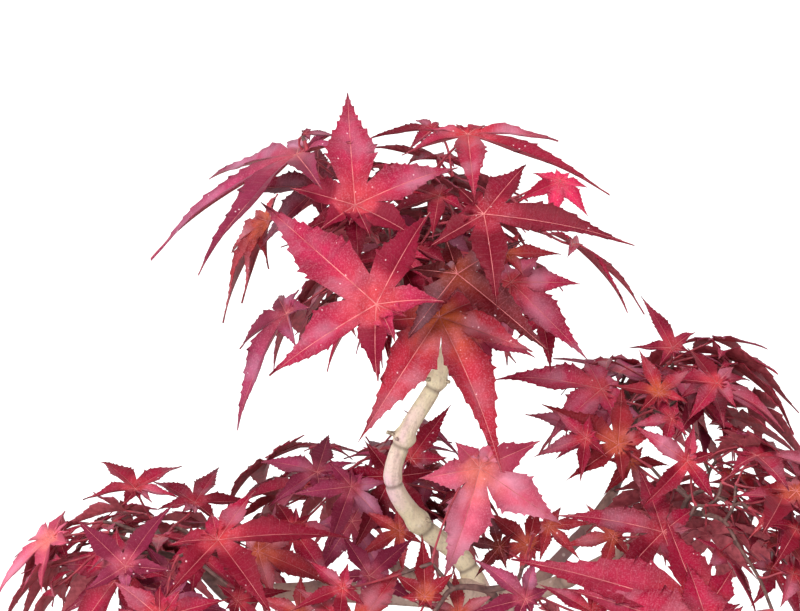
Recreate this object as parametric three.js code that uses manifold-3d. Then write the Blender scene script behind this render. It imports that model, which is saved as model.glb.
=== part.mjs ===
// Red-leaved maple bonsai in a plain oval tray pot: trunk, boughs and masses of twigs and leaves.
// Millimetres, +Z up, front towards -Y, origin on the ground under the middle of the pot.

import * as THREE from "three";
import { mergeVertices } from "three/addons/utils/BufferGeometryUtils.js";
import Module from "manifold-3d";

const wasm = await Module();
wasm.setup();

// Pot and soil
const POT_LENGTH = 224;
const POT_WIDTH = 168;
const POT_HEIGHT = 50;
const POT_WALL = 7;
const POT_FLOOR = 8;
const POT_SIDES = 36;
const LIP_HEIGHT = 7;
const LIP_OVERHANG = 4;
const WALL_FLARE = 13;
const WALL_BELLY = 3;
const EDGE_ROUND = 2;
const LIP_ROUND = 1;
const FOOT_HEIGHT = 6;
const FOOT_RADIUS = 13;
const FOOT_TAPER = 2;
const FOOT_SUNK = 2;
const FOOT_SIDES = 16;
const FOOT_PLACE = 0.52;
const GROUND = 48;
const SOIL_EDGE = 42;
const SOIL_FLAT = 32;
const SOIL_SLOPE = 3;
const SOIL_MARGIN = 4;
const SOIL_RINGS = 6;
const MOUND_HEIGHT = 0.9;
const MOUND_APART = 20;
const MOUND_FADE = 18;
const SEAT_GAP = 0.3;

// Trunk: middle and radius from the ground to the tip, with the roots that swell its foot
const TRUNK_LINE = [
  { at: [4, 8, GROUND], radius: 14 },
  { at: [-3, 7, 78], radius: 11.5 },
  { at: [-17, 5, 108], radius: 9.6 },
  { at: [-20, 5, 138], radius: 8.2 },
  { at: [-7, 8, 166], radius: 6.9 },
  { at: [11, 10, 190], radius: 5.5 },
  { at: [15, 9, 212], radius: 3.7 },
  { at: [11, 9, 223], radius: 2.2 },
  { at: [0, 3, 234], radius: 2.5 },
  { at: [-6.5, -2, 246], radius: 2.1 },
  { at: [-3.5, -3, 257], radius: 2.15 },
  { at: [4, -2, 270], radius: 2 },
  { at: [8, -2, 283], radius: 1.6 },
];
const TRUNK_SIDES = 15;
const TRUNK_RINGS = 32;
const LINE_STEP = 1e-9;
const ROOT_ANGLES = [15, 95, 165, 230, 305];
const ROOT_SWELL = 13;
const ROOT_RISE = 24;
const ROOT_SHARPNESS = 14;
const ROOT_LEAST = 0.25;

// Boughs: where each leaves the trunk, where it ends, and how it bows on the way
const BOUGHS = [
  { name: "bough_left", leaves: 214, tip: [-46, 2, 216], lift: 2, bow: 9, thick: 2.9, thin: 2 },
  { name: "bough_right", leaves: 210, tip: [58, 0, 234], lift: -3, bow: 6, thick: 2.4, thin: 1.3 },
  { name: "bough_right_back", leaves: 201, tip: [50, 38, 234], lift: -3, bow: 4, thick: 2.2, thin: 1.3 },
  { name: "bough_back_left", leaves: 205, tip: [-14, 38, 222], lift: -2, bow: -5, thick: 2.2, thin: 1.4 },
  { name: "bough_centre", leaves: 206, tip: [17, -22, 222], lift: -2, bow: 3, thick: 2, thin: 1.3 },
  { name: "bough_low_left", leaves: 134, tip: [-66, -16, 152], lift: 5, bow: 6, thick: 4.4, thin: 2 },
  { name: "bough_low_right", leaves: 178, tip: [58, -16, 168], lift: 4, bow: -6, thick: 3.8, thin: 1.8 },
  { name: "bough_low_back", leaves: 158, tip: [-16, 46, 168], lift: 3, bow: 5, thick: 3.8, thin: 1.8 },
];
const BOUGH_SIDES = 7;
const BOUGH_RINGS = 7;
const BOUGH_POINTS = 6;

// Leaf: five long lobes round a hub, with sizes as shares of the middle lobe
const LOBES = [
  { angle: -120, reach: 0.52, shouldered: false },
  { angle: -64, reach: 0.86, shouldered: true },
  { angle: 0, reach: 1, shouldered: true },
  { angle: 64, reach: 0.86, shouldered: true },
  { angle: 120, reach: 0.52, shouldered: false },
];
const LOBE_HALF_WIDTH = 0.15;
const LOBE_WIDEST = 0.44;
const SINUS = 0.2;
const MARK_SHARES = [0.35, 0.7, 1];
const LEAF_DROOP = 0.17;
const LEAF_THICKNESS = 1.8;

// Twigs and leaf stalks
const TWIG_SIDES = 3;
const STALK_RADIUS = 0.6;
const TWIG_SWELL = 0.34;
const TWIG_STEP = 0.42;
const STALK_FOOT = 0.5;

// The leaves that the rule adds: their spiral over a mass's dome, pose, growth and spacing
const GOLDEN_ANGLE = 137.508;
const HEIGHT_STRIDE = 7;
const LOWEST_LEAF = -0.3;
const HUB_SHELL = [0.3, 0.7];
const FACE_OUT = 0.75;
const FACE_UP = 0.75;
const LEAD_DOWN = 0.35;
const LEAF_SIZES = [20, 28];
const SIDE_GROWTH = [0.8, 1.05];
const TRIES = 80;
const SPACE_SLACK = 1.2;
const OWN_GAP = 3.5;
const OTHER_GAP = 8.5;
const LIMB_GAP = 3;
const LIMB_MARKS = 60;
const BARE_STEM = [210, 280];
const BARE_STEM_WIDTH = 7;
const SHOWN_CLEARANCE = 5;

// How the crown is seen: the middle of the view, its distance, and its fall from back to front
const VIEW_MIDDLE = [-4.8, 288];
const VIEW_DISTANCE = 620;
const VIEW_SLOPE = 0.14;

// Sky that shows between the masses, as windows in the view: their ends sideways and upwards
const SKY_WINDOWS = [
  { across: [-98, -40], up: [249, 298] },
  { across: [-40, -8], up: [256, 272] },
  { across: [-40, -27], up: [293, 303] },
  { across: [18, 31], up: [257, 271] },
  { across: [20, 34], up: [241, 249] },
  { across: [35, 57], up: [276, 301] },
  { across: [42, 110], up: [286, 342] },
  { across: [34, 44], up: [236, 246] },
];

// Joining: how near points are one, and the smallest edge that is kept on a mass
const MERGE_DISTANCE = 1e-3;
const SMALLEST_EDGE = 0.2;

// Colours
const CLAY_BROWN = 0x6b4a3a;
const SOIL_BROWN = 0x4a3a2e;
const BARK_TAN = 0xcfaead;
const BOUGH_TAN = 0xb39187;
const LEAF_RED = 0xb4455c;

// Each mass: the limb it grows on, the space it fills, its leaves, and the leaves set by hand.
// A hand-set leaf has its hub, the heading of its middle lobe seen from the front,
// the rise and turn of its face and the length of its middle lobe. Its form is the growth of its left
// and right side, how widely its lobes open, and how broad they are.
const MASSES = [
  {
    name: "leaves_apex", limb: "trunk", centre: [-2, -4, 292], space: [64, 60, 48], count: 36,
    seed: 11,
    shown: [
      { hub: [-15, -28, 315], heading: 94, rise: 38, turn: -1, length: 36, form: [0.52, 0.87, 1.02, 1.1] },
      { hub: [-15, -24, 314], heading: 272, rise: 38, turn: 0, length: 15, form: [0.85, 1.25, 1.05, 1.25] },
      { hub: [-10, -48, 295], heading: 136, rise: 29, turn: -21, length: 44, form: [0.77, 0.66, 1.11, 0.95] },
      { hub: [4, -40, 291], heading: 280, rise: 39, turn: 23, length: 38, form: [0.71, 1.12, 0.85, 1] },
      { hub: [8, -42, 301], heading: 310, rise: 41, turn: -16, length: 29, form: [0.7, 0.81, 1.25, 0.95] },
      { hub: [14, -38, 314], heading: 341, rise: 50, turn: -9, length: 34, form: [0.69, 0.87, 1.11, 1] },
      { hub: [11, -13, 330], heading: 268, rise: 72, turn: 8, length: 32, form: [1.37, 0.69, 0.89, 0.75] },
      { hub: [-29, -10, 325], heading: 209, rise: 63, turn: -67, length: 42, form: [1.28, 1.07, 0.81, 0.66] },
      { hub: [-37, 12, 307], heading: 202, rise: 22, turn: -65, length: 32, form: [0.76, 0.82, 0.51, 0.55] },
      { hub: [-32, 0, 286], heading: 274, rise: 36, turn: -63, length: 30, form: [0.55, 0.82, 0.93, 0.85] },
      { hub: [34, 10, 317], heading: 257, rise: 35, turn: 2, length: 12, form: [1.08, 1.13, 0.8, 1.2] },
      { hub: [21, -18, 296], heading: 308, rise: 32, turn: 8, length: 25, form: [0.78, 0.81, 0.77, 1.1] },
      { hub: [12, -32, 286], heading: 341, rise: 37, turn: 8, length: 15, form: [0.8, 0.79, 0.76, 1.3] },
      { hub: [37, 8, 302], heading: 240, rise: 55, turn: 84, length: 23, form: [1.45, 0.8, 0.93, 0.5] },
      { hub: [29, -5, 286], heading: 275, rise: 39, turn: 4, length: 14, form: [0.66, 0.72, 0.83, 1.1] },
      { hub: [3, 5, 330], heading: 184, rise: 70, turn: -5, length: 16, form: [0.84, 0.6, 0.93, 0.7] },
      { hub: [-24, -5, 317], heading: 150, rise: 50, turn: -30, length: 24, form: [1, 0.9, 1, 1] },
    ],
  },
  {
    name: "leaves_left", limb: "bough_left", centre: [-62, -4, 226], space: [44, 54, 36], count: 22,
    seed: 23,
    shown: [
      { hub: [-70, 10, 241], heading: 102, rise: 66, turn: 8, length: 18, form: [0.84, 1.14, 1.09, 1] },
      { hub: [-56, 17, 236], heading: 80, rise: 64, turn: 5, length: 18, form: [1, 1, 1, 1] },
      { hub: [-47, -28, 237], heading: 291, rise: 56, turn: -5, length: 26, form: [1.4, 0.88, 1.04, 1] },
      { hub: [-69, -25, 230], heading: 134, rise: 31, turn: -13, length: 19, form: [0.7, 1.16, 1.18, 1] },
      { hub: [-39, -6, 229], heading: 341, rise: 32, turn: 19, length: 22, form: [0.9, 0.67, 0.86, 1] },
      { hub: [-60, -34, 220], heading: 262, rise: 34, turn: -5, length: 30, form: [1, 1, 1, 1] },
    ],
  },
  {
    name: "leaves_back_left", limb: "bough_back_left", centre: [-18, 42, 230], space: [44, 34, 36],
    count: 16, seed: 37,
    shown: [
      { hub: [-26, 35, 240], heading: 131, rise: 61, turn: -12, length: 18, form: [1.01, 1.12, 1.07, 1.2] },
      { hub: [-7, 25, 241], heading: 245, rise: 12, turn: 0, length: 22, form: [1, 1, 1, 1] },
      { hub: [-17, 22, 239], heading: 251, rise: 20, turn: 0, length: 18, form: [1, 1, 1, 1] },
      { hub: [-2, 28, 245], heading: 56, rise: 22, turn: 3, length: 18, form: [0.5, 0.62, 0.87, 1] },
    ],
  },
  {
    name: "leaves_centre", limb: "bough_centre", centre: [8, -34, 226], space: [36, 34, 36], count: 13,
    seed: 41,
    shown: [
      { hub: [1, -30, 224], heading: 89, rise: 32, turn: 4, length: 16, form: [0.67, 0.68, 0.78, 1] },
      { hub: [-12, -18, 226], heading: 52, rise: 39, turn: 5, length: 16, form: [1, 1, 1.15, 1.1] },
      { hub: [-15, -42, 219], heading: 80, rise: 60, turn: -8, length: 27, form: [1, 1, 1, 1] },
      { hub: [14, -18, 252], heading: 256, rise: -3, turn: 9, length: 29, form: [1.04, 0.58, 1.05, 1.35] },
      { hub: [26, -8, 231], heading: 133, rise: 31, turn: 7, length: 15, form: [1, 1, 0.95, 1] },
      { hub: [24, -36, 225], heading: 128, rise: 37, turn: 10, length: 16, form: [1, 0.81, 0.92, 1] },
      { hub: [31, -5, 235], heading: 304, rise: 38, turn: 7, length: 11, form: [1.24, 1, 0.89, 1] },
    ],
  },
  {
    name: "leaves_right", limb: "bough_right", centre: [66, -16, 234], space: [40, 46, 38], count: 17,
    seed: 53,
    shown: [
      { hub: [48, 0, 254], heading: 144, rise: 35, turn: 12, length: 21, form: [0.88, 0.98, 1.05, 1] },
      { hub: [63, -15, 253], heading: 226, rise: 18, turn: 10, length: 16, form: [0.87, 1.13, 1.25, 1] },
      { hub: [64, -44, 224], heading: 155, rise: 47, turn: 15, length: 45, form: [0.9, 0.69, 0.89, 1] },
      { hub: [57, -20, 237], heading: 158, rise: 47, turn: 8, length: 25, form: [1, 1, 1, 1] },
      { hub: [52, 8, 248], heading: 289, rise: 35, turn: 2, length: 11, form: [1, 1.17, 1.02, 1.1] },
      { hub: [65, -52, 220], heading: 149, rise: 45, turn: 13, length: 35, form: [0.9, 0.7, 0.9, 1.35] },
    ],
  },
  {
    name: "leaves_right_back", limb: "bough_right_back", centre: [56, 36, 256], space: [42, 40, 34],
    count: 16, seed: 61,
    shown: [
      { hub: [45, 15, 265], heading: 157, rise: 58, turn: 17, length: 26, form: [1, 0.55, 1, 1.25] },
      { hub: [64, 30, 273], heading: 107, rise: 41, turn: -3, length: 19, form: [0.68, 0.5, 1.04, 0.7] },
      { hub: [73, 12, 267], heading: 172, rise: 57, turn: 13, length: 18, form: [1, 1, 1, 1] },
      { hub: [61, 2, 260], heading: 193, rise: 40, turn: 6, length: 11, form: [1, 1, 1, 1.1] },
      { hub: [43, 20, 254], heading: 158, rise: 42, turn: 5, length: 17, form: [0.84, 1, 0.92, 1.3] },
    ],
  },
  {
    name: "leaves_low_left", limb: "bough_low_left", centre: [-66, -12, 166], space: [42, 50, 30],
    count: 18, seed: 73, shown: [],
  },
  {
    name: "leaves_low_right", limb: "bough_low_right", centre: [64, -8, 178], space: [44, 52, 28],
    count: 18, seed: 83, shown: [],
  },
  {
    name: "leaves_low_back", limb: "bough_low_back", centre: [-14, 47, 178], space: [52, 34, 30],
    count: 18, seed: 101, shown: [],
  },
];

// A seeded run of numbers from 0 to 1
function seededNumbers(seed) {
  let state = seed >>> 0;
  return () => {
    state = (state + 0x6d2b79f5) >>> 0;
    let mixed = Math.imul(state ^ (state >>> 15), state | 1);
    mixed ^= mixed + Math.imul(mixed ^ (mixed >>> 7), mixed | 61);
    return ((mixed ^ (mixed >>> 14)) >>> 0) / 4294967296;
  };
}

const vector = (list) => new THREE.Vector3(list[0], list[1], list[2]);
const radians = THREE.MathUtils.degToRad;
const between = (ends, share) => ends[0] + (ends[1] - ends[0]) * share;

// A solid from points and triangles
function solidFrom(points, triangles) {
  const vertProperties = new Float32Array(points.length * 3);
  points.forEach((point, i) => point.toArray(vertProperties, i * 3));
  const triVerts = new Uint32Array(triangles.flat());
  return new wasm.Manifold(new wasm.Mesh({ numProp: 3, vertProperties, triVerts }));
}

// A solid from a closed three.js geometry, with shared points merged and empty triangles dropped
function solidOf(geometry) {
  const bare = geometry.clone();
  bare.deleteAttribute("normal");
  bare.deleteAttribute("uv");
  const merged = mergeVertices(bare, MERGE_DISTANCE);
  const place = merged.getAttribute("position");
  const points = [];
  for (let i = 0; i < place.count; i += 1) {
    points.push(new THREE.Vector3().fromBufferAttribute(place, i));
  }
  const triangles = [];
  for (let i = 0; i < merged.index.count; i += 3) {
    const [a, b, c] = [0, 1, 2].map((k) => merged.index.getX(i + k));
    if (a !== b && b !== c && c !== a) triangles.push([a, b, c]);
  }
  return solidFrom(points, triangles);
}

// A mesh with its own material from a solid
function meshOf(name, solid, color, roughness) {
  const { vertProperties, triVerts } = solid.getMesh();
  const geometry = new THREE.BufferGeometry();
  geometry.setAttribute("position", new THREE.BufferAttribute(vertProperties, 3));
  geometry.setIndex(new THREE.BufferAttribute(triVerts, 1));
  geometry.computeVertexNormals();
  const mesh = new THREE.Mesh(geometry, new THREE.MeshStandardMaterial({ color, roughness, metalness: 0 }));
  mesh.name = name;
  return mesh;
}

// One body from many: joined, with sealed hollows filled and loose scraps dropped
function fuse(solids) {
  const pieces = wasm.Manifold.union(solids).decompose();
  return pieces.reduce((best, piece) => (piece.volume() > best.volume() ? piece : best));
}

// A closed skin over rings of points, with a fan over each end
function loft(rings) {
  const sides = rings[0].length;
  const points = rings.flat();
  const triangles = [];
  for (let r = 0; r + 1 < rings.length; r += 1) {
    for (let s = 0; s < sides; s += 1) {
      const a = r * sides + s;
      const b = r * sides + ((s + 1) % sides);
      triangles.push([a, b, b + sides], [a, b + sides, a + sides]);
    }
  }
  const last = (rings.length - 1) * sides;
  for (let s = 1; s + 1 < sides; s += 1) {
    triangles.push([0, s + 1, s], [last, last + s, last + s + 1]);
  }
  return solidFrom(points, triangles);
}

// A round limb along a curve: radiusAt gives its radius from the share of the way and the angle,
// flatFoot cuts its foot level, and overrun carries it past the curve's end
function limb(curve, ringCount, sides, radiusAt, flatFoot = false, overrun = 0) {
  const rings = [];
  const across = new THREE.Vector3(1, 0, 0);
  for (let r = 0; r <= ringCount; r += 1) {
    const share = r / ringCount;
    const middle = curve.getPoint(share);
    const way = flatFoot && r === 0 ? new THREE.Vector3(0, 0, 1) : curve.getTangent(share);
    if (r === ringCount) middle.addScaledVector(way, overrun);
    across.addScaledVector(way, -across.dot(way)).normalize();
    const over = new THREE.Vector3().crossVectors(way, across);
    const ring = [];
    for (let s = 0; s < sides; s += 1) {
      const angle = (2 * Math.PI * s) / sides;
      const radius = radiusAt(share, angle, middle);
      const point = middle.clone().addScaledVector(across, radius * Math.cos(angle));
      ring.push(point.addScaledVector(over, radius * Math.sin(angle)));
    }
    rings.push(ring);
  }
  return loft(rings);
}

// Pot: an oval tray turned as a lathe and narrowed, on four round feet
function makePot() {
  const half = POT_LENGTH / 2;
  const under = half - LIP_OVERHANG - WALL_FLARE;
  const neck = half - LIP_OVERHANG;
  const profile = [
    [0, FOOT_HEIGHT],
    [under - EDGE_ROUND, FOOT_HEIGHT],
    [under, FOOT_HEIGHT + EDGE_ROUND],
    [neck - WALL_BELLY, (POT_HEIGHT + FOOT_HEIGHT) / 2],
    [neck, POT_HEIGHT - LIP_HEIGHT],
    [half, POT_HEIGHT - LIP_HEIGHT + LIP_ROUND],
    [half, POT_HEIGHT - LIP_ROUND],
    [half - LIP_ROUND, POT_HEIGHT],
    [neck - POT_WALL + LIP_ROUND, POT_HEIGHT],
    [neck - POT_WALL, POT_HEIGHT - EDGE_ROUND],
    [under - POT_WALL, FOOT_HEIGHT + POT_FLOOR],
    [0, FOOT_HEIGHT + POT_FLOOR],
  ];
  const tray = new THREE.LatheGeometry(profile.map(([r, z]) => new THREE.Vector2(r, z)), POT_SIDES);
  tray.rotateX(Math.PI / 2);
  tray.scale(1, POT_WIDTH / POT_LENGTH, 1);
  const solids = [solidOf(tray)];
  for (const [x, y] of [[1, 1], [1, -1], [-1, 1], [-1, -1]]) {
    const height = FOOT_HEIGHT + FOOT_SUNK;
    const foot = new THREE.CylinderGeometry(FOOT_RADIUS, FOOT_RADIUS - FOOT_TAPER, height, FOOT_SIDES);
    foot.rotateX(Math.PI / 2);
    foot.translate((x * FOOT_PLACE * POT_LENGTH) / 2, (y * FOOT_PLACE * POT_WIDTH) / 2, height / 2);
    solids.push(solidOf(foot));
  }
  return fuse(solids);
}

// Low mounds in the soil's surface, which fade out at the trunk and at the pot's wall
function soilMound(x, y, wide) {
  const reach = Math.hypot(x, y);
  const room = Math.min(reach - SOIL_FLAT, wide - reach) / MOUND_FADE;
  const turn = (2 * Math.PI) / (2 * MOUND_APART);
  return MOUND_HEIGHT * Math.min(Math.max(room, 0), 1) * Math.sin(turn * x) * Math.cos(turn * y);
}

// Soil: fills the pot below its rim and rises to a level round under the trunk
function makeSoil() {
  const half = POT_LENGTH / 2;
  const floor = FOOT_HEIGHT + POT_FLOOR + SEAT_GAP;
  const low = half - LIP_OVERHANG - WALL_FLARE - POT_WALL - 2 * SEAT_GAP;
  const wide = half - LIP_OVERHANG - POT_WALL - SOIL_MARGIN;
  const surface = [SOIL_EDGE, SOIL_EDGE + SOIL_SLOPE, GROUND - SEAT_GAP];
  const profile = [[0, floor], [low, floor]];
  for (let i = 0; i <= SOIL_RINGS; i += 1) {
    const share = i / SOIL_RINGS;
    profile.push([between([wide, SOIL_FLAT], share), along(surface, share)]);
  }
  profile.push([0, GROUND - SEAT_GAP]);
  const soil = new THREE.LatheGeometry(profile.map(([r, z]) => new THREE.Vector2(r, z)), POT_SIDES);
  soil.rotateX(Math.PI / 2);
  const place = soil.getAttribute("position");
  for (let i = 0; i < place.count; i += 1) {
    const [x, y, z] = [place.getX(i), place.getY(i), place.getZ(i)];
    if (z > floor + SEAT_GAP) place.setZ(i, z + soilMound(x, y, wide));
  }
  soil.scale(1, POT_WIDTH / POT_LENGTH, 1);
  return solidOf(soil);
}

// How far the roots swell the trunk's foot at an angle and a height
function rootSwell(angle, height) {
  if (height >= ROOT_RISE) return 0;
  const fade = (1 - height / ROOT_RISE) ** 2;
  const ridge = ROOT_ANGLES.map((root) => Math.exp(ROOT_SHARPNESS * (Math.cos(angle - radians(root)) - 1)));
  return ROOT_SWELL * fade * Math.max(ROOT_LEAST, ...ridge);
}

// A number along a row of values, from the share of the way
function along(values, share) {
  const place = Math.min(Math.max(share, 0), 1) * (values.length - 1);
  const low = Math.min(Math.floor(place), values.length - 2);
  return values[low] + (values[low + 1] - values[low]) * (place - low);
}

const trunkCurve = new THREE.CatmullRomCurve3(TRUNK_LINE.map((row) => vector(row.at)));
const trunkRadii = TRUNK_LINE.map((row) => row.radius);

// The point of the trunk's middle line at a height
function trunkPoint(height) {
  let [low, high] = [0, 1];
  while (high - low > LINE_STEP) {
    const middle = (low + high) / 2;
    if (trunkCurve.getPoint(middle).z < height) low = middle;
    else high = middle;
  }
  return trunkCurve.getPoint(low);
}

function makeTrunk(extra) {
  const radiusAt = (share, angle, middle) =>
    along(trunkRadii, share) + rootSwell(angle, middle.z - GROUND) + extra;
  return limb(trunkCurve, TRUNK_RINGS, TRUNK_SIDES, radiusAt, true, extra);
}

// The middle line of a bough: from inside the trunk to its tip, lifted and bowed on the way
function boughCurve(bough) {
  const start = trunkPoint(bough.leaves);
  const tip = vector(bough.tip);
  const side = new THREE.Vector3(start.y - tip.y, tip.x - start.x, 0).normalize();
  const points = [];
  for (let i = 0; i <= BOUGH_POINTS; i += 1) {
    const share = i / BOUGH_POINTS;
    const point = start.clone().lerp(tip, share);
    point.z += bough.lift * 4 * share * (1 - share);
    points.push(point.addScaledVector(side, bough.bow * Math.sin(Math.PI * share) * (1 - share)));
  }
  return new THREE.CatmullRomCurve3(points);
}

function makeBough(bough, extra) {
  const radiusAt = (share) => bough.thick + (bough.thin - bough.thick) * share + extra;
  return limb(boughCurve(bough), BOUGH_RINGS, BOUGH_SIDES, radiusAt, false, extra);
}

// Points along every limb with their radii, for keeping leaves clear
function limbMarks() {
  const marks = [];
  for (let i = 0; i <= LIMB_MARKS; i += 1) {
    const share = i / LIMB_MARKS;
    marks.push({ at: trunkCurve.getPoint(share), radius: along(trunkRadii, share) });
    for (const bough of BOUGHS) {
      marks.push({ at: boughCurve(bough).getPoint(share), radius: bough.thick });
    }
  }
  return marks;
}

// A leaf's pose: hub, face and middle lobe's direction, side direction, length and form
function poseLeaf(hub, face, lead, length, form) {
  const ahead = lead.clone().addScaledVector(face, -lead.dot(face)).normalize();
  const side = new THREE.Vector3().crossVectors(face, ahead);
  const [left, right, spread, breadth] = form;
  return { hub, face, ahead, side, length, left, right, spread, breadth };
}

// How far a lobe of a leaf reaches: the lobes on each side of the middle one have their own growth
function lobeReach(leaf, lobe) {
  if (lobe.angle === 0) return lobe.reach;
  return lobe.reach * (lobe.angle > 0 ? leaf.left : leaf.right);
}

// A point of a leaf at an angle and a share of its length, with its droop
function leafPoint(leaf, angle, share, lift) {
  const reach = share * leaf.length;
  const point = leaf.hub.clone();
  point.addScaledVector(leaf.ahead, reach * Math.cos(angle));
  point.addScaledVector(leaf.side, reach * Math.sin(angle));
  return point.addScaledVector(leaf.face, lift - LEAF_DROOP * share * share * leaf.length);
}

// Marks on a leaf that stand for its shape when leaves are spaced
function leafMarks(leaf) {
  const marks = [leaf.hub];
  for (const lobe of LOBES) {
    for (const share of MARK_SHARES) {
      marks.push(leafPoint(leaf, radians(lobe.angle * leaf.spread), share * lobeReach(leaf, lobe), 0));
    }
  }
  return marks;
}

// A leaf as a thin star: each long lobe has two shoulders and a tip, and the hub is the thickest place
function makeLeaf(leaf) {
  const rim = [];
  LOBES.forEach((lobe, i) => {
    const middle = radians(lobe.angle * leaf.spread);
    const follower = LOBES[(i + 1) % LOBES.length];
    const next = radians(follower.angle * leaf.spread + (i + 1 < LOBES.length ? 0 : 360));
    const reach = lobeReach(leaf, lobe);
    const halfWidth = LOBE_HALF_WIDTH * leaf.breadth;
    const shoulder = Math.hypot(LOBE_WIDEST, halfWidth) * reach;
    const flare = Math.atan2(halfWidth, LOBE_WIDEST);
    if (lobe.shouldered) rim.push(leafPoint(leaf, middle - flare, shoulder, 0));
    rim.push(leafPoint(leaf, middle, reach, 0));
    if (lobe.shouldered) rim.push(leafPoint(leaf, middle + flare, shoulder, 0));
    rim.push(leafPoint(leaf, (middle + next) / 2, SINUS, 0));
  });
  const top = leafPoint(leaf, 0, 0, LEAF_THICKNESS / 2);
  const under = leafPoint(leaf, 0, 0, -LEAF_THICKNESS / 2);
  const triangles = [];
  rim.forEach((_, i) => {
    const next = (i + 1) % rim.length;
    triangles.push([i, next, rim.length], [next, i, rim.length + 1]);
  });
  return solidFrom([...rim, top, under], triangles);
}

// A twig through a row of points that narrows from its foot to the leaf at its end
function makeTwig(points, radii) {
  const path = points.length > 2 ? new THREE.CatmullRomCurve3(points) : new THREE.LineCurve3(...points);
  return limb(path, points.length - 1, TWIG_SIDES, (share) => along(radii, share));
}

// Leaves set by hand, from their seen heading and the rise and turn of their faces
function shownLeaves(mass) {
  return mass.shown.map(({ hub, heading, rise, turn, length, form }) => {
    const [h, r, t] = [heading, rise, turn].map(radians);
    const face = new THREE.Vector3(Math.sin(t) * Math.cos(r), -Math.cos(t) * Math.cos(r), Math.sin(r));
    const lead = new THREE.Vector3(Math.cos(h), 0, Math.sin(h));
    return poseLeaf(vector(hub), face, lead, length, form);
  });
}

// Leaves offered by the rule: hubs spiral over the mass's dome, faces look out and up
function offeredLeaves(mass) {
  const random = seededNumbers(mass.seed);
  const total = mass.count * TRIES;
  const offered = [];
  for (let i = 0; i < total; i += 1) {
    const height = 1 - ((1 - LOWEST_LEAF) * (((i * HEIGHT_STRIDE) % total) + 0.5)) / total;
    const angle = i * radians(GOLDEN_ANGLE) + random();
    const flat = Math.sqrt(1 - height * height);
    const out = new THREE.Vector3(flat * Math.cos(angle), flat * Math.sin(angle), height);
    const shell = between(HUB_SHELL, random());
    const hub = vector(mass.centre).add(out.clone().multiply(vector(mass.space)).multiplyScalar(shell));
    const face = new THREE.Vector3(random() - 0.5, random() - 0.5, FACE_UP).addScaledVector(out, FACE_OUT);
    const lead = new THREE.Vector3(out.x + random() - 0.5, out.y + random() - 0.5, -LEAD_DOWN);
    const length = between(LEAF_SIZES, random());
    const form = [between(SIDE_GROWTH, random()), between(SIDE_GROWTH, random()), 1, 1];
    offered.push(poseLeaf(hub, face.normalize(), lead, length, form));
  }
  return offered;
}

// Whether a mark lies in front of the bare upper stem, which shows between the masses
function hidesStem(mark) {
  const height = mark.z + VIEW_SLOPE * mark.y;
  if (height < BARE_STEM[0] || height > BARE_STEM[1]) return false;
  const stem = trunkPoint(height);
  return mark.y < stem.y && Math.abs(mark.x - stem.x) < BARE_STEM_WIDTH;
}

// Where a mark is seen in the view, sideways and upwards
function seen(mark) {
  const scale = VIEW_DISTANCE / (VIEW_DISTANCE + mark.y);
  const rise = mark.z + VIEW_SLOPE * mark.y - VIEW_MIDDLE[1];
  const across = VIEW_MIDDLE[0] + scale * (mark.x - VIEW_MIDDLE[0]);
  return new THREE.Vector2(across, VIEW_MIDDLE[1] + scale * rise);
}

// Whether a mark fills one of the windows of sky
function fillsSky(mark) {
  const { x, y } = seen(mark);
  const inside = (ends, value) => value > ends[0] && value < ends[1];
  return SKY_WINDOWS.some((window) => inside(window.across, x) && inside(window.up, y));
}

// Whether a mark lies in front of a leaf that was set by hand
function hidesShown(mark, shownMarks) {
  const place = seen(mark);
  return shownMarks.some((spot) => mark.y < spot.y && seen(spot).distanceTo(place) < SHOWN_CLEARANCE);
}

// Whether a leaf keeps inside its space, clear of the limbs and of the leaves already there
function fits(leaf, mass, taken, limbs, shownMarks) {
  const marks = leafMarks(leaf);
  if (marks.some((mark) => hidesStem(mark) || fillsSky(mark) || hidesShown(mark, shownMarks))) return false;
  const centre = vector(mass.centre);
  const space = vector(mass.space);
  for (const mark of marks) {
    if (mark.clone().sub(centre).divide(space).length() > SPACE_SLACK) return false;
    if (limbs.some((spot) => spot.at.distanceTo(mark) < spot.radius + LIMB_GAP)) return false;
    for (const other of taken) {
      const gap = other.mass === mass ? OWN_GAP : OTHER_GAP;
      if (other.marks.some((spot) => spot.distanceTo(mark) < gap)) return false;
    }
  }
  return true;
}

// Leaves for every mass: those set by hand first, then the rule's, one mass after another
function placeLeaves() {
  const limbs = limbMarks();
  const taken = [];
  const placed = new Map();
  for (const mass of MASSES) {
    const leaves = shownLeaves(mass);
    placed.set(mass, leaves);
    leaves.forEach((leaf) => taken.push({ mass, marks: leafMarks(leaf) }));
  }
  const shownMarks = taken.flatMap((leaf) => leaf.marks);
  for (const mass of MASSES) {
    const leaves = placed.get(mass);
    for (const leaf of offeredLeaves(mass)) {
      if (leaves.length >= mass.count) break;
      if (fits(leaf, mass, taken, limbs, shownMarks)) {
        leaves.push(leaf);
        taken.push({ mass, marks: leafMarks(leaf) });
      }
    }
  }
  return placed;
}

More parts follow.
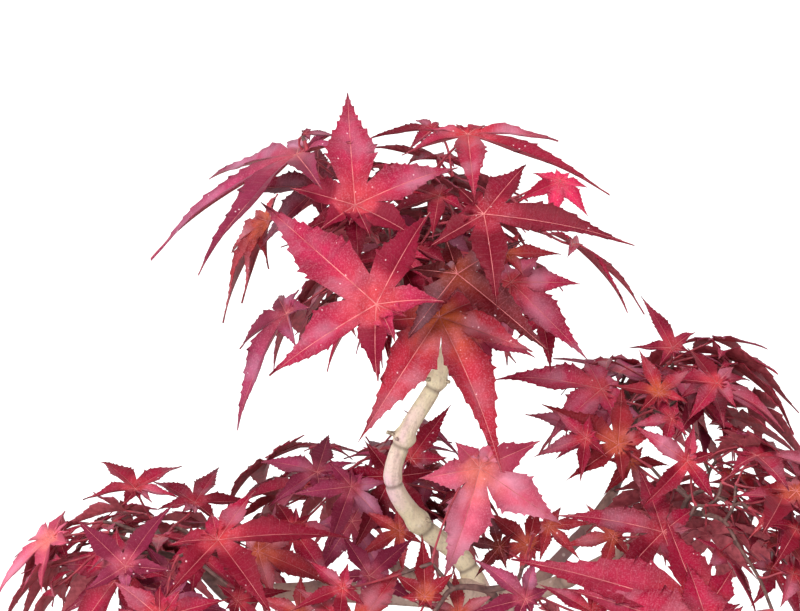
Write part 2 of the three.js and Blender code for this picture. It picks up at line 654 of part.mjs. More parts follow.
// Twigs to a group of leaves: the group is halved across its longest spread at each fork,
// the twig runs on to the half that lies straighter ahead, and the other half gets a twig of its own
function growTwigs(twig, leaves, twigs) {
  const from = twig.points[twig.points.length - 1];
  twig.radii.push(STALK_RADIUS * leaves.length ** TWIG_SWELL);
  if (leaves.length === 1) {
    twig.points.push(leaves[0].hub);
    twig.radii.push(STALK_RADIUS);
    twigs.push(twig);
    return;
  }
  const fork = from.clone().lerp(meanFoot(leaves), TWIG_STEP);
  twig.points.push(fork);
  const spreadOf = (axis) => {
    const values = leaves.map((leaf) => leaf.hub[axis]);
    return Math.max(...values) - Math.min(...values);
  };
  const axis = ["x", "y", "z"].reduce((best, name) => (spreadOf(name) > spreadOf(best) ? name : best));
  const sorted = [...leaves].sort((a, b) => a.hub[axis] - b.hub[axis]);
  const half = Math.ceil(sorted.length / 2);
  const groups = [sorted.slice(0, half), sorted.slice(half)];
  const way = fork.clone().sub(from).normalize();
  const straightness = (group) => meanFoot(group).sub(fork).normalize().dot(way);
  groups.sort((a, b) => straightness(b) - straightness(a));
  growTwigs(twig, groups[0], twigs);
  growTwigs({ points: [fork], radii: [] }, groups[1], twigs);
}

// The middle of the places where a group's leaf stalks start
function meanFoot(leaves) {
  const middle = new THREE.Vector3();
  for (const leaf of leaves) {
    middle.addScaledVector(leaf.hub, 1 / leaves.length);
    middle.addScaledVector(leaf.ahead, (-STALK_FOOT * leaf.length) / leaves.length);
  }
  return middle;
}

// A mass: one stem just clear of its limb's tip, its twigs and its leaves, cut clear of every limb
function makeMass(mass, leaves, limbTips, clearance) {
  const { tip, way } = limbTips.get(mass.limb);
  const foot = tip.clone().addScaledVector(way, SEAT_GAP);
  const twigs = [];
  growTwigs({ points: [foot], radii: [] }, leaves, twigs);
  const solids = [...leaves.map(makeLeaf), ...twigs.map((twig) => makeTwig(twig.points, twig.radii))];
  const whole = fuse([fuse(solids).subtract(clearance)]);
  return fuse([whole.asOriginal().simplify(SMALLEST_EDGE)]);
}

// The whole plant
const bonsai = new THREE.Group();
const trunk = makeTrunk(0);
const trunkClear = makeTrunk(SEAT_GAP);
bonsai.add(meshOf("pot", makePot(), CLAY_BROWN, 0.7));
bonsai.add(meshOf("soil", makeSoil(), SOIL_BROWN, 0.95));
bonsai.add(meshOf("trunk", trunk, BARK_TAN, 0.8));

const limbTips = new Map([["trunk", { tip: trunkCurve.getPoint(1), way: trunkCurve.getTangent(1) }]]);
const clearances = [trunkClear];
for (const bough of BOUGHS) {
  const curve = boughCurve(bough);
  limbTips.set(bough.name, { tip: curve.getPoint(1), way: curve.getTangent(1) });
  bonsai.add(meshOf(bough.name, fuse([makeBough(bough, 0).subtract(trunkClear)]), BOUGH_TAN, 0.8));
  clearances.push(makeBough(bough, SEAT_GAP));
}
const clearance = wasm.Manifold.union(clearances);

const placed = placeLeaves();
for (const mass of MASSES) {
  bonsai.add(meshOf(mass.name, makeMass(mass, placed.get(mass), limbTips, clearance), LEAF_RED, 0.6));
}

export default bonsai;
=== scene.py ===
# %% [markdown]
# A maple bonsai, dressed for the camera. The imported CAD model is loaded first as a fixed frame. Every
# piece below is built where the CAD model says, in metres, and stands for one or more of its nodes.
# Lengths in this lesson are written in millimetres, as a grower would measure them, and turned into
# metres only when a mesh is made.

# %% Load the frame
import math

import bpy
import numpy as np
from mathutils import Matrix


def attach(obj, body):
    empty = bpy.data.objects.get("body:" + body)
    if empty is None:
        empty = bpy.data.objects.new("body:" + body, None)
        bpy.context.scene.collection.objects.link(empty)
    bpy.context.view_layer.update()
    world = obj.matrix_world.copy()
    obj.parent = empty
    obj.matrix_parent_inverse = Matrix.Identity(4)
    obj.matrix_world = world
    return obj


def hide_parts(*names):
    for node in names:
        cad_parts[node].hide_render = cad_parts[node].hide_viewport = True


MM = 0.001
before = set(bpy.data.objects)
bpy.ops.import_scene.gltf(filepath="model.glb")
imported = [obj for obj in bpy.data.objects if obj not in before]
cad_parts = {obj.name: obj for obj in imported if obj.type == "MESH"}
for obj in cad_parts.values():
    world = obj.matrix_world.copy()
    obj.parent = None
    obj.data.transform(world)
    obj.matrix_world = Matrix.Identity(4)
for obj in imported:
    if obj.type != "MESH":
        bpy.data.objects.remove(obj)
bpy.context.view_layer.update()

# %% [markdown]
# The photograph is a close view of the top of the tree, taken a little from above. A long lens keeps
# the leaves from swelling towards the edges. The camera is aimed at one point of the crown, and its
# lens follows from the width of tree that the picture shows there.

# %% Camera
VIEW_TARGET = np.array([-4.8, 0.0, 288.0])
VIEW_DISTANCE, VIEW_WIDTH, SENSOR = 620.0, 192.0, 36.0
VIEW_ELEVATION = math.radians(8)
NEAREST_SEEN, FURTHEST_SEEN = 0.01, 200

view_way = np.array([0.0, math.cos(VIEW_ELEVATION), -math.sin(VIEW_ELEVATION)])
camera_data = bpy.data.cameras.new("photo_view")
camera_data.sensor_width = SENSOR
camera_data.lens = SENSOR * VIEW_DISTANCE / VIEW_WIDTH
camera_data.clip_start, camera_data.clip_end = NEAREST_SEEN, FURTHEST_SEEN
camera = bpy.data.objects.new("photo_view", camera_data)
camera.location = (VIEW_TARGET - view_way * VIEW_DISTANCE) * MM
camera.rotation_euler = (math.pi / 2 - VIEW_ELEVATION, 0, 0)
bpy.context.collection.objects.link(camera)
bpy.context.scene.camera = camera
print("lens", round(camera_data.lens, 1), "mm")

# %% [markdown]
# The picture's background is white paper, lit all round. A picture of a studio could give that light,
# but a plain surround is enough: white on all sides, brightest at the horizon as a paper sweep is, and
# dimmer overhead. It gives much of the soft light on the leaves. The Standard view keeps white paper
# white, where a film-like view would grey it. Surround, finishes and scattered pieces are all trees of
# nodes, so a first helper adds one node to any such tree.

# %% Surround
WHITE = (1, 1, 1, 1)
HORIZON_LIGHT, ZENITH_LIGHT, HORIZON_TOP, ZENITH_FROM = 1.0, 0.65, 0.1, 0.6


def feed(tree, socket, value):
    """Sets the input of a node to a plain value, or links another node's output to it."""
    if isinstance(value, bpy.types.NodeSocket):
        tree.links.new(value, socket)
    else:
        socket.default_value = value


def add_node(tree, kind, output, inputs=None, **settings):
    """Adds a node with its settings and inputs, and gives back one of its outputs."""
    node = tree.nodes.new(kind)
    for name, value in settings.items():
        setattr(node, name, value)
    for name, value in (inputs or {}).items():
        feed(tree, node.inputs[name], value)
    return node.outputs[output]


def ramp(tree, value, start, end, low=0.0, high=1.0):
    """A number that runs from low to high while a value runs from start to end."""
    return add_node(tree, "ShaderNodeMapRange", "Result", {
        "Value": value, "From Min": start, "From Max": end, "To Min": low, "To Max": high})


bpy.context.scene.view_settings.view_transform = "Standard"
surround = bpy.data.worlds.new("white_surround")
surround.use_nodes = True
tree = surround.node_tree
way = add_node(tree, "ShaderNodeTexCoord", "Generated")
height = add_node(tree, "ShaderNodeSeparateXYZ", "Z", {0: way})
sky = tree.nodes["Background"].inputs
feed(tree, sky["Strength"], ramp(tree, height, HORIZON_TOP, ZENITH_FROM, HORIZON_LIGHT, ZENITH_LIGHT))
feed(tree, sky["Color"], WHITE)
bpy.context.scene.world = surround
print("surround from", HORIZON_LIGHT, "at the horizon to", ZENITH_LIGHT, "overhead")

# %% [markdown]
# The floor is one sheet that runs far back under the surround. Away from the pot it glows a little, like
# a light table, so that it is as white as the background without flooding the crown with light.

# %% Floor
FLOOR_REACH, FLOOR_TINT, FLOOR_ROUGHNESS = 40.0, (0.62, 0.62, 0.62, 1), 0.9
FLOOR_GLOW, GLOW_START, GLOW_FULL = 0.9, 0.35, 0.8

floor_mesh = bpy.data.meshes.new("floor")
corners = [(x * FLOOR_REACH, y * FLOOR_REACH, 0) for x, y in ((-1, -1), (1, -1), (1, 1), (-1, 1))]
floor_mesh.from_pydata(corners, [], [(0, 1, 2, 3)])
floor = bpy.data.objects.new("floor", floor_mesh)
floor_paper = bpy.data.materials.new("floor_white")
floor_paper.use_nodes = True
tree = floor_paper.node_tree
place = add_node(tree, "ShaderNodeTexCoord", "Object")
reach = add_node(tree, "ShaderNodeVectorMath", "Value", {0: place}, operation="LENGTH")
paper = tree.nodes["Principled BSDF"].inputs
feed(tree, paper["Base Color"], FLOOR_TINT)
feed(tree, paper["Roughness"], FLOOR_ROUGHNESS)
feed(tree, paper["Emission Color"], WHITE)
feed(tree, paper["Emission Strength"], ramp(tree, reach, GLOW_START, GLOW_FULL, 0, FLOOR_GLOW))
floor_mesh.materials.append(floor_paper)
bpy.context.collection.objects.link(floor)
print("floor of", 2 * FLOOR_REACH, "m")

# %% [markdown]
# Two soft lamps model the leaves: a small one above, which lights the upper faces and leaves shade
# below them, and a larger one over the camera's left shoulder. Square area lamps are used, because
# their size sets how soft the shadows are.

# %% Lamps
CROWN_MIDDLE = np.array([0.0, 0.0, 0.27])
LAMPS = {"top_lamp": ((0.1, -0.5, 1.25), 0.3, 6.2), "shoulder_lamp": ((-0.7, -1.0, 0.7), 0.5, 9.4)}

for name, (place, size, power) in LAMPS.items():
    lamp_data = bpy.data.lights.new(name, "AREA")
    lamp_data.size, lamp_data.energy = size, power
    lamp = bpy.data.objects.new(name, lamp_data)
    way = CROWN_MIDDLE - place
    turn = math.atan2(way[1], way[0]) - math.pi / 2
    tilt = math.acos(-way[2] / np.linalg.norm(way))
    lamp.location, lamp.rotation_euler = place, (tilt, 0, turn)
    bpy.context.collection.objects.link(lamp)
    print(name, "of", power, "W,", round(float(np.linalg.norm(way)), 2), "m from the crown")

# %% [markdown]
# A finish is a tree of nodes that ends in one shader. A class keeps each finish short: it has a word for
# each kind of pattern, and paints colours over each other in turn. Patterns read Object coordinates,
# which are the tree's own metres here, so a grain of two millimetres is the same size on every piece.

# %% Finish helper


def linear(red, green, blue):
    """A colour for a shader from the usual numbers of 0 to 255."""
    shares = np.array([red, green, blue]) / 255
    low, high = shares / 12.92, ((shares + 0.055) / 1.055) ** 2.4
    return (*np.where(shares <= 0.04045, low, high).tolist(), 1.0)


class Finish:
    """A material with short ways to add and join its nodes."""

    def __init__(self, name):
        self.material = bpy.data.materials.new(name)
        self.material.use_nodes = True
        self.tree = self.material.node_tree
        self.place = self.add("ShaderNodeTexCoord", "Object")

    def add(self, kind, output, inputs=None, **settings):
        return add_node(self.tree, kind, output, inputs, **settings)

    def shade(self, name, value):
        feed(self.tree, self.tree.nodes["Principled BSDF"].inputs[name], value)

    def noise(self, scale, detail=3.0, stretch=None):
        place = self.place
        if stretch:
            place = self.add("ShaderNodeMapping", "Vector", {"Vector": place, "Scale": stretch})
        return self.add("ShaderNodeTexNoise", "Fac", {"Vector": place, "Scale": scale, "Detail": detail})

    def cells(self, scale):
        return self.add("ShaderNodeTexVoronoi", "Distance", {"Vector": self.place, "Scale": scale})

    def stored(self, name):
        return self.add("ShaderNodeAttribute", "Fac", attribute_name=name)

    def axis(self, vector, letter):
        return self.add("ShaderNodeSeparateXYZ", letter, {0: vector})

    def steps(self, value, start, end, low=0.0, high=1.0):
        return ramp(self.tree, value, start, end, low, high)

    def reckon(self, operation, first, second):
        return self.add("ShaderNodeMath", 0, {0: first, 1: second}, operation=operation)

    def product(self, first, *others):
        for other in others:
            first = self.reckon("MULTIPLY", first, other)
        return first

    def paint(self, colour, *layers):
        """Sets the colour: one colour, with others laid over it in turn, each by its share."""
        for share, over in layers:
            colour = self.add("ShaderNodeMix", 2, {0: share, 6: colour, 7: over}, data_type="RGBA")
        self.shade("Base Color", colour)

    def relief(self, height, strength, depth):
        bump = {"Strength": strength, "Distance": depth, "Height": height}
        self.shade("Normal", self.add("ShaderNodeBump", "Normal", bump))


print("a leaf's red of 170, 20, 60 is", [round(share, 3) for share in linear(170, 20, 60)], "to a shader")

# %% [markdown]
# Autumn tints sit leaf by leaf, so each tint is a finish of its own and is dealt out to whole leaves.
# Within a leaf the colour warms towards the heart, where the stalk meets the blade. Lighter lobes get a
# painted sheen in patches: pale highlights painted into the colour. Darker lobes, all tips and the
# toothed edges are deeper. Faint side veins run from the midrib towards the teeth, and the skin has a
# pale bloom and a few white specks. All this follows a map laid on every leaf, whose first number runs
# along the lobe and whose second runs across it, and a tone stored for every lobe, which is partly
# painted shade and partly the lobe's own depth of red.

# %% Leaf finishes
LEAF_MAP, LOBE_TONE_AND_SHADE = "leaf_map", "lobe_tone"
SIDE_VEINS, VEIN_SLANT, LEAF_GLOSS = 12.0, 0.7, 0.13
VEIN_TINT, BLOOM_TINT, SPECK_TINT = (224, 130, 128), (242, 160, 182), (244, 214, 220)
TINTS = {
    "crimson": ((170, 20, 60), (180, 52, 54)),
    "rose": ((176, 34, 73), (184, 58, 62)),
    "pink": ((222, 98, 124), (222, 118, 98)),
    "mauve": ((166, 54, 92), (162, 62, 72)),
    "burgundy": ((150, 10, 50), (150, 32, 44)),
    "plum": ((126, 20, 50), (122, 34, 46)),
    "umber": ((112, 12, 24), (122, 48, 28)),
    "brick": ((176, 48, 58), (184, 86, 50)),
    "flame": ((176, 36, 56), (188, 90, 42)),
    # glow paints the light that shines through a leaf from behind
    "glow": ((226, 40, 92), (226, 66, 90)),
}


def leaf_finish(name, tint, heart):
    """The upper skin of a leaf in one tint, with a warmer heart."""
    f = Finish(name)
    leaf_map = f.add("ShaderNodeUVMap", "UV", uv_map=LEAF_MAP)
    along, across, tone_and_shade = f.axis(leaf_map, "X"), f.axis(leaf_map, "Y"), f.stored(LOBE_TONE_AND_SHADE)
    slanted = f.reckon("SUBTRACT", along, f.product(across, VEIN_SLANT))
    veins = f.steps(f.reckon("PINGPONG", f.product(slanted, SIDE_VEINS), 0.5), 0.07, 0.0)
    mottle, bloom = f.noise(210, 4), f.noise(2700, 5)
    specks = f.product(f.steps(f.cells(430), 0.11, 0.07), f.steps(f.noise(240, 1), 0.54, 0.58), 0.65)
    red, green, blue, _ = linear(*tint)
    deep = (red * 0.37, green * 0.1, blue * 0.22, 1)
    # pale is the colour of the painted highlights in the sheen below
    pale = (red * 1.25 + 0.17, green * 1.6 + 0.27, blue * 1.5 + 0.32, 1)
    # the sheen is painted: pale highlight patches on the lighter lobes, kept off the heart
    painted_sheen = f.steps(f.noise(105, 3), 0.45, 0.62, 0, 0.25 + 0.9 * red)
    powder = f.steps(tone_and_shade, 0.85, 0.4, 0.06, 0.08 + 0.35 * red)
    f.paint(
        linear(*tint),
        (f.steps(along, 0.42, 0.05, 0, 0.85), linear(*heart)),
        (f.product(painted_sheen, f.steps(tone_and_shade, 0.6, 0.25), f.steps(along, 0.08, 0.3)), pale),
        # a high tone deepens a lobe or half lobe: partly painted shade, partly its own deeper red
        (f.steps(tone_and_shade, 0.5, 0.85, 0, 0.8), deep),
        (f.steps(across, 0.04, 0.115, 0, 0.6), deep),
        (f.steps(along, 0.5, 1, 0, 0.55), deep),
        (f.steps(mottle, 0.42, 0.7, 0, 0.55), deep),
        (f.product(veins, f.steps(mottle, 0.35, 0.65, 0, 0.13)), linear(*VEIN_TINT)),
        (f.product(f.steps(bloom, 0.48, 0.75), powder), linear(*BLOOM_TINT)),
        (specks, linear(*SPECK_TINT)),
    )
    f.shade("Roughness", f.steps(bloom, 0.3, 0.7, 0.34, 0.5))
    f.shade("Specular IOR Level", LEAF_GLOSS)
    f.relief(f.reckon("ADD", f.product(veins, 0.4), bloom), 0.4, 0.0003)
    return f.material


leaf_tints = {name: leaf_finish("leaf_" + name, *pair) for name, pair in TINTS.items()}
print(len(leaf_tints), "leaf tints")

# %% [markdown]
# The thin things round a leaf need less: the dull underside, the pale midrib, the red stalk and the
# brown twig each have two shades that change over a millimetre or so. One function makes them all, and
# the damp bed under the soil's grains as well.

# %% Plain finishes


def even_finish(name, light, dark, grain, roughness, depth):
    """A finish with one grain: two shades that change over a given length in millimetres."""
    f = Finish(name)
    spread = f.noise(1 / (grain * MM), 4)
    f.paint(linear(*dark), (f.steps(spread, 0.35, 0.65), linear(*light)))
    f.shade("Roughness", f.steps(spread, 0.3, 0.7, roughness - 0.1, roughness + 0.1))
    f.relief(spread, 0.4, depth)
    return f.material


leaf_under = even_finish("leaf_underside", (188, 88, 98), (150, 58, 70), 1.2, 0.6, 0.0003)
leaf_vein = even_finish("leaf_midrib", (220, 130, 128), (172, 76, 82), 3, 0.5, 0.0001)
stalk_red = even_finish("leaf_stalk", (178, 58, 72), (132, 38, 54), 1.5, 0.45, 0.0002)
twig_brown = even_finish("twig_bark", (124, 88, 82), (78, 50, 48), 1.4, 0.65, 0.0004)
soil_dark = even_finish("soil_bed", (86, 64, 48), (46, 34, 28), 2.2, 0.9, 0.0012)
print("underside, midrib, stalk, twig and soil bed finishes made")

# %% [markdown]
# Young maple bark is smooth and pale: olive tan with long mauve patches, fine dark lines up the stem,
# and pale pores. Towards the foot of the trunk it greys. Two numbers stored on the mesh tell the finish
# more: scar is where ring scars and old cuts darken it, and collar is where a bough is still as pale as
# the stem that it leaves.

# %% Bark finishes
OLD_BARK, YOUNG_BARK = 0.11, 0.215
COLLAR_TINT, GRAIN_TINT = (214, 190, 172), (96, 78, 68)
PORE_TINT, SCAR_TINT = (232, 220, 210), (112, 92, 80)


def bark_finish(name, skin_tint, patch_tint, line_tint, foot_tint):
    """Bark with its smooth skin, patches, fine lines and greyer foot."""
    f = Finish(name)
    patches, lines = f.noise(75, 3, (1, 1, 0.35)), f.noise(520, 5, (1, 1, 0.22))
    grain = f.noise(1500, 4)
    f.paint(
        linear(*skin_tint),
        (f.steps(patches, 0.46, 0.58), linear(*patch_tint)),
        (f.stored("collar"), linear(*COLLAR_TINT)),
        (f.steps(f.axis(f.place, "Z"), YOUNG_BARK, OLD_BARK, 0, 0.85), linear(*foot_tint)),
        (f.steps(lines, 0.5, 0.75, 0, 0.6), linear(*line_tint)),
        (f.steps(grain, 0.5, 0.75, 0, 0.3), linear(*GRAIN_TINT)),
        (f.steps(f.cells(300), 0.16, 0.08, 0, 0.4), linear(*PORE_TINT)),
        (f.stored("scar"), linear(*SCAR_TINT)),
    )
    f.shade("Roughness", f.steps(lines, 0.3, 0.7, 0.55, 0.8))
    f.relief(f.reckon("ADD", lines, f.product(grain, 0.6)), 0.5, 0.0006)
    return f.material


stem_bark = bark_finish("stem_bark", (226, 212, 178), (236, 198, 204), (182, 150, 140), (122, 105, 92))
bough_bark = bark_finish("bough_bark", (158, 124, 112), (136, 102, 100), (96, 68, 64), (132, 106, 96))
print("pale bark for the stem and brown bark for the boughs made")

# %% [markdown]
# The pot is unglazed fired clay: brown, wiped in streaks while it was wet, with dark flecks. Every grain
# of soil is baked clay too, and gets its own shade from a number stored when it is scattered.

# %% Clay and soil finishes


def clay_finish():
    """Wiped, flecked stoneware."""
    f = Finish("fired_clay")
    broad, wiped = f.noise(22, 4), f.noise(260, 4, (0.25, 0.25, 1.6))
    flecks = f.steps(f.cells(520), 0.2, 0.1)
    f.paint(
        linear(88, 56, 44),
        (f.steps(broad, 0.35, 0.65), linear(116, 78, 60)),
        (f.steps(wiped, 0.45, 0.75, 0, 0.5), linear(140, 100, 78)),
        (f.product(flecks, 0.55), linear(48, 32, 28)),
    )
    f.shade("Roughness", f.steps(broad, 0.3, 0.7, 0.55, 0.75))
    f.relief(f.reckon("ADD", wiped, f.product(flecks, -0.5)), 0.35, 0.0005)
    return f.material


def grain_finish():
    """Grains from dark to tan, a few of them grey, all a little rubbed."""
    f = Finish("soil_grain")
    shade, rubbed = f.stored("shade"), f.noise(900, 4)
    f.paint(
        linear(62, 44, 34),
        (f.steps(shade, 0.1, 0.8), linear(150, 108, 74)),
        (f.steps(shade, 0.86, 0.9), linear(138, 128, 118)),
        (f.steps(rubbed, 0.45, 0.7, 0, 0.5), linear(84, 62, 48)),
    )
    f.shade("Roughness", 0.92)
    f.relief(rubbed, 0.6, 0.0004)
    return f.material


pot_clay, soil_grain = clay_finish(), grain_finish()
print("clay and soil finishes made")

# %% [markdown]
# Most pieces here are long arrays of points and faces, so one helper turns such arrays into a mesh. Others
# lay faces between rings of points, close a row of rings into a skin with a fan over each end, and join
# several skins.

# %% Mesh helpers


def edge_keys(ends, count):
    """One number for each edge, whichever way round its two points are."""
    ends = np.sort(np.asarray(ends, np.int64), axis=1)
    return ends[:, 0] * count + ends[:, 1]


def mesh_from(name, points, face_groups, sharp=None):
    """A mesh from points in millimetres and arrays of faces, with some edges kept sharp."""
    mesh = bpy.data.meshes.new(name)
    points = np.asarray(points, float) * MM
    mesh.vertices.add(len(points))
    mesh.vertices.foreach_set("co", points.astype(np.float32).ravel())
    sizes = np.concatenate([np.full(len(group), group.shape[1]) for group in face_groups])
    corners = np.concatenate([group.ravel() for group in face_groups])
    mesh.loops.add(len(corners))
    mesh.loops.foreach_set("vertex_index", corners.astype(np.int32))
    mesh.polygons.add(len(sizes))
    mesh.polygons.foreach_set("loop_start", (np.cumsum(sizes) - sizes).astype(np.int32))
    mesh.polygons.foreach_set("use_smooth", np.ones(len(sizes), bool))
    mesh.update(calc_edges=True)
    if sharp is not None:
        ends = np.empty(len(mesh.edges) * 2, np.int32)
        mesh.edges.foreach_get("vertices", ends)
        keep = np.isin(edge_keys(ends.reshape(-1, 2), len(points)), edge_keys(sharp, len(points)))
        mesh.attributes.new("sharp_edge", "BOOLEAN", "EDGE").data.foreach_set("value", keep)
    return mesh


def ring_quads(count, sides):
    """Faces between neighbouring rings of points."""
    rows = np.arange(count - 1)[:, None] * sides
    here = rows + np.arange(sides)
    beside = rows + (np.arange(sides) + 1) % sides
    return np.stack([here, beside, beside + sides, here + sides], -1).reshape(-1, 4)


def skin(rings):
    """Points and faces over rings of points, shape (rings, sides, 3), closed at both ends."""
    count, sides = rings.shape[:2]
    points = np.vstack([rings.reshape(-1, 3), rings[0].mean(0), rings[-1].mean(0)])
    low, high = count * sides, count * sides + 1
    turn, last = np.arange(sides), (count - 1) * sides
    following = (turn + 1) % sides
    foot = np.stack([following, turn, np.full(sides, low)], -1)
    head = np.stack([last + turn, last + following, np.full(sides, high)], -1)
    return points, ring_quads(count, sides), np.vstack([foot, head])


def joined(skins):
    """Several skins as one set of points, quads and triangles."""
    start, points, quads, triangles = 0, [], [], []
    for skin_points, skin_quads, skin_triangles in skins:
        points.append(skin_points)
        quads.append(skin_quads + start)
        triangles.append(skin_triangles + start)
        start += len(skin_points)
    return np.vstack(points), np.vstack(quads), np.vstack(triangles)


print("a skin over 4 rings of 6 points has", len(skin(np.zeros((4, 6, 3)))[1]), "quads between its ends")

# %% [markdown]
# A finished object is handed to the frame: it rides on the root body, and the CAD nodes that it stands
# for are hidden. All pieces that are made of skins go there the same way, with one finish and, where that
# finish reads them, numbers stored on the points.

# %% Handing over


def hand_over(piece, record_slot, *nodes):
    """Gives a finished object to the frame and says how large it is."""
    if not piece.users_collection:
        bpy.context.collection.objects.link(piece)
    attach(piece, "root")
    if nodes:
        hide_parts(*nodes)
    count = sum(len(face.vertices) - 2 for face in piece.data.polygons)
    print(piece.name, "has", count, "triangles")


def skin_piece(name, skins, finish, record_slot, *nodes, **numbers):
    """Makes one piece of several skins in one finish, with numbers stored on its points."""
    points, quads, triangles = joined(skins)
    mesh = mesh_from(name, points, [quads, triangles])
    mesh.materials.append(finish)
    for label, values in numbers.items():
        mesh.attributes.new(label, "FLOAT", "POINT").data.foreach_set("value", np.concatenate(values))
    hand_over(bpy.data.objects.new(name, mesh), record_slot, *nodes)


print("pieces will stand for", len(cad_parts), "CAD nodes on one body")

# %% [markdown]
# The pot is an oval tray. A lathe would give its round parent, so the profile is turned in code and
# squeezed to the oval in the same step. Each corner of the profile is cut back and bent round, as a
# potter's sponge leaves it. Four short feet lift the tray off the table.

# %% Pot
POT_LENGTH, POT_WIDTH, POT_HEIGHT, POT_WALL, POT_FLOOR = 224, 168, 50, 7, 8
LIP_HEIGHT, LIP_OVERHANG, WALL_FLARE, WALL_BELLY = 7, 4, 13, 3
FOOT_HEIGHT, FOOT_RADIUS, FOOT_TAPER, FOOT_PLACE, FOOT_SUNK = 6, 13, 2, 0.52, 2
TRAY_ROUNDS, FOOT_ROUNDS, ROUND_MOST = (3, 9, 1, 1.2, 1.6, 2.4, 4), (1.2, 0.5), 0.48
POT_SIDES, FOOT_SIDES, CORNER_STEPS, AXIS_GAP = 144, 40, 5, 1


def rounded(corners, rounds):
    """A profile whose corners are bent round by the lengths given, one for each inner corner."""
    corners = np.asarray(corners, float)
    line = [corners[0]]
    for before, corner, after, reach in zip(corners, corners[1:], corners[2:], rounds):
        back, ahead = before - corner, after - corner
        start = corner + back * min(reach / np.linalg.norm(back), ROUND_MOST)
        end = corner + ahead * min(reach / np.linalg.norm(ahead), ROUND_MOST)
        for share in np.linspace(0, 1, CORNER_STEPS):
            line.append((1 - share) ** 2 * start + 2 * share * (1 - share) * corner + share ** 2 * end)
    line.append(corners[-1])
    return np.array(line)


def ring_angles(sides):
    """Angles of evenly spaced points round a ring."""
    return np.linspace(0, 2 * np.pi, sides, endpoint=False)


def turned(profile, sides, squeeze=1.0, middle=(0, 0)):
    """Rings of a profile of radius and height, turned round a middle and squeezed to an oval."""
    angles = ring_angles(sides)
    x = middle[0] + profile[:, :1] * np.cos(angles)
    y = middle[1] + profile[:, :1] * np.sin(angles) * squeeze
    return np.stack([x, y, np.broadcast_to(profile[:, 1:], x.shape)], -1)


pot_half, pot_oval = POT_LENGTH / 2, POT_WIDTH / POT_LENGTH
pot_neck = pot_half - LIP_OVERHANG
pot_under = pot_neck - WALL_FLARE
lip_under, tray_floor, foot_top = POT_HEIGHT - LIP_HEIGHT, FOOT_HEIGHT + POT_FLOOR, FOOT_HEIGHT + FOOT_SUNK
tray_corners = [
    (AXIS_GAP, FOOT_HEIGHT), (pot_under, FOOT_HEIGHT),
    (pot_neck - WALL_BELLY, (POT_HEIGHT + FOOT_HEIGHT) / 2),
    (pot_neck, lip_under), (pot_half, lip_under), (pot_half, POT_HEIGHT),
    (pot_neck - POT_WALL, POT_HEIGHT), (pot_under - POT_WALL, tray_floor), (AXIS_GAP, tray_floor),
]
foot_corners = [(AXIS_GAP, 0), (FOOT_RADIUS - FOOT_TAPER, 0), (FOOT_RADIUS, foot_top), (AXIS_GAP, foot_top)]
pot_skins = [skin(turned(rounded(tray_corners, TRAY_ROUNDS), POT_SIDES, pot_oval))]
for x, y in ((1, 1), (1, -1), (-1, 1), (-1, -1)):
    middle = (x * FOOT_PLACE * pot_half, y * FOOT_PLACE * POT_WIDTH / 2)
    pot_skins.append(skin(turned(rounded(foot_corners, FOOT_ROUNDS), FOOT_SIDES, 1, middle)))
skin_piece("pot_tray", pot_skins, pot_clay, "pot_clay", "pot")

# %% [markdown]
# The soil's bed is one closed lump under the loose grains. It slopes gently down from the trunk to the
# pot's wall and has low mounds, as worked soil has. It is made from rings like the pot, and its upper
# rings are kept for the grains.

# %% Soil bed
GROUND, SOIL_EDGE, SOIL_FLAT, SOIL_SLOPE, SOIL_MARGIN = 48, 42, 32, 3, 4
SOIL_LIFT, SOIL_PLAY, SOIL_RINGS, SOIL_SIDES = 0.5, 1, 44, 120
MOUND_HEIGHT, MOUND_APART, MOUND_FADE, BED_SUNK = 0.9, 20, 18, 0.9

soil_wide, soil_low = pot_neck - POT_WALL - SOIL_MARGIN, pot_under - POT_WALL - SOIL_PLAY
radii = np.linspace(soil_wide, AXIS_GAP, SOIL_RINGS)
slope_radii = [AXIS_GAP, SOIL_FLAT, (soil_wide + SOIL_FLAT) / 2, soil_wide]
slope_heights = [GROUND, GROUND, SOIL_EDGE + SOIL_SLOPE, SOIL_EDGE]
slope = np.stack([radii, np.interp(radii, slope_radii, slope_heights)], -1)
soil_top = turned(slope, SOIL_SIDES, pot_oval)
across_x, across_y = soil_top[..., 0], soil_top[..., 1] / pot_oval
reach = np.hypot(across_x, across_y)
room = np.clip(np.minimum(reach - SOIL_FLAT, soil_wide - reach) / MOUND_FADE, 0, 1)
wave = math.pi / MOUND_APART
soil_top[..., 2] += MOUND_HEIGHT * room * np.sin(wave * across_x) * np.cos(wave * across_y) - BED_SUNK
soil_floor = np.array([[AXIS_GAP, tray_floor + SOIL_LIFT], [soil_low, tray_floor + SOIL_LIFT]])
bed_rings = np.concatenate([turned(soil_floor, SOIL_SIDES, pot_oval), soil_top])
skin_piece("soil_bed", [skin(bed_rings)], soil_dark, "soil", "soil")

# %% [markdown]
# Bonsai soil is loose grains of baked clay, thousands of small stones. Setting them one by one in a loop
# would be slow, so this is work for Geometry Nodes. Two trees are built in this lesson, so the start and
# the end that they share come first: named inputs at the start, and at the end everything made real and
# set in its finish. Each tree is run once, and its result is kept as a plain mesh.

# %% Tree helpers


def start_tree(name, **inputs):
    """A Geometry Nodes tree with a geometry socket and named inputs, and the outputs that give them."""
    tree = bpy.data.node_groups.new(name, "GeometryNodeTree")
    tree.interface.new_socket("Geometry", in_out="INPUT", socket_type="NodeSocketGeometry")
    for label, kind in inputs.items():
        tree.interface.new_socket(label, in_out="INPUT", socket_type="NodeSocket" + kind)
    tree.interface.new_socket("Geometry", in_out="OUTPUT", socket_type="NodeSocketGeometry")
    return tree, tree.nodes.new("NodeGroupInput").outputs


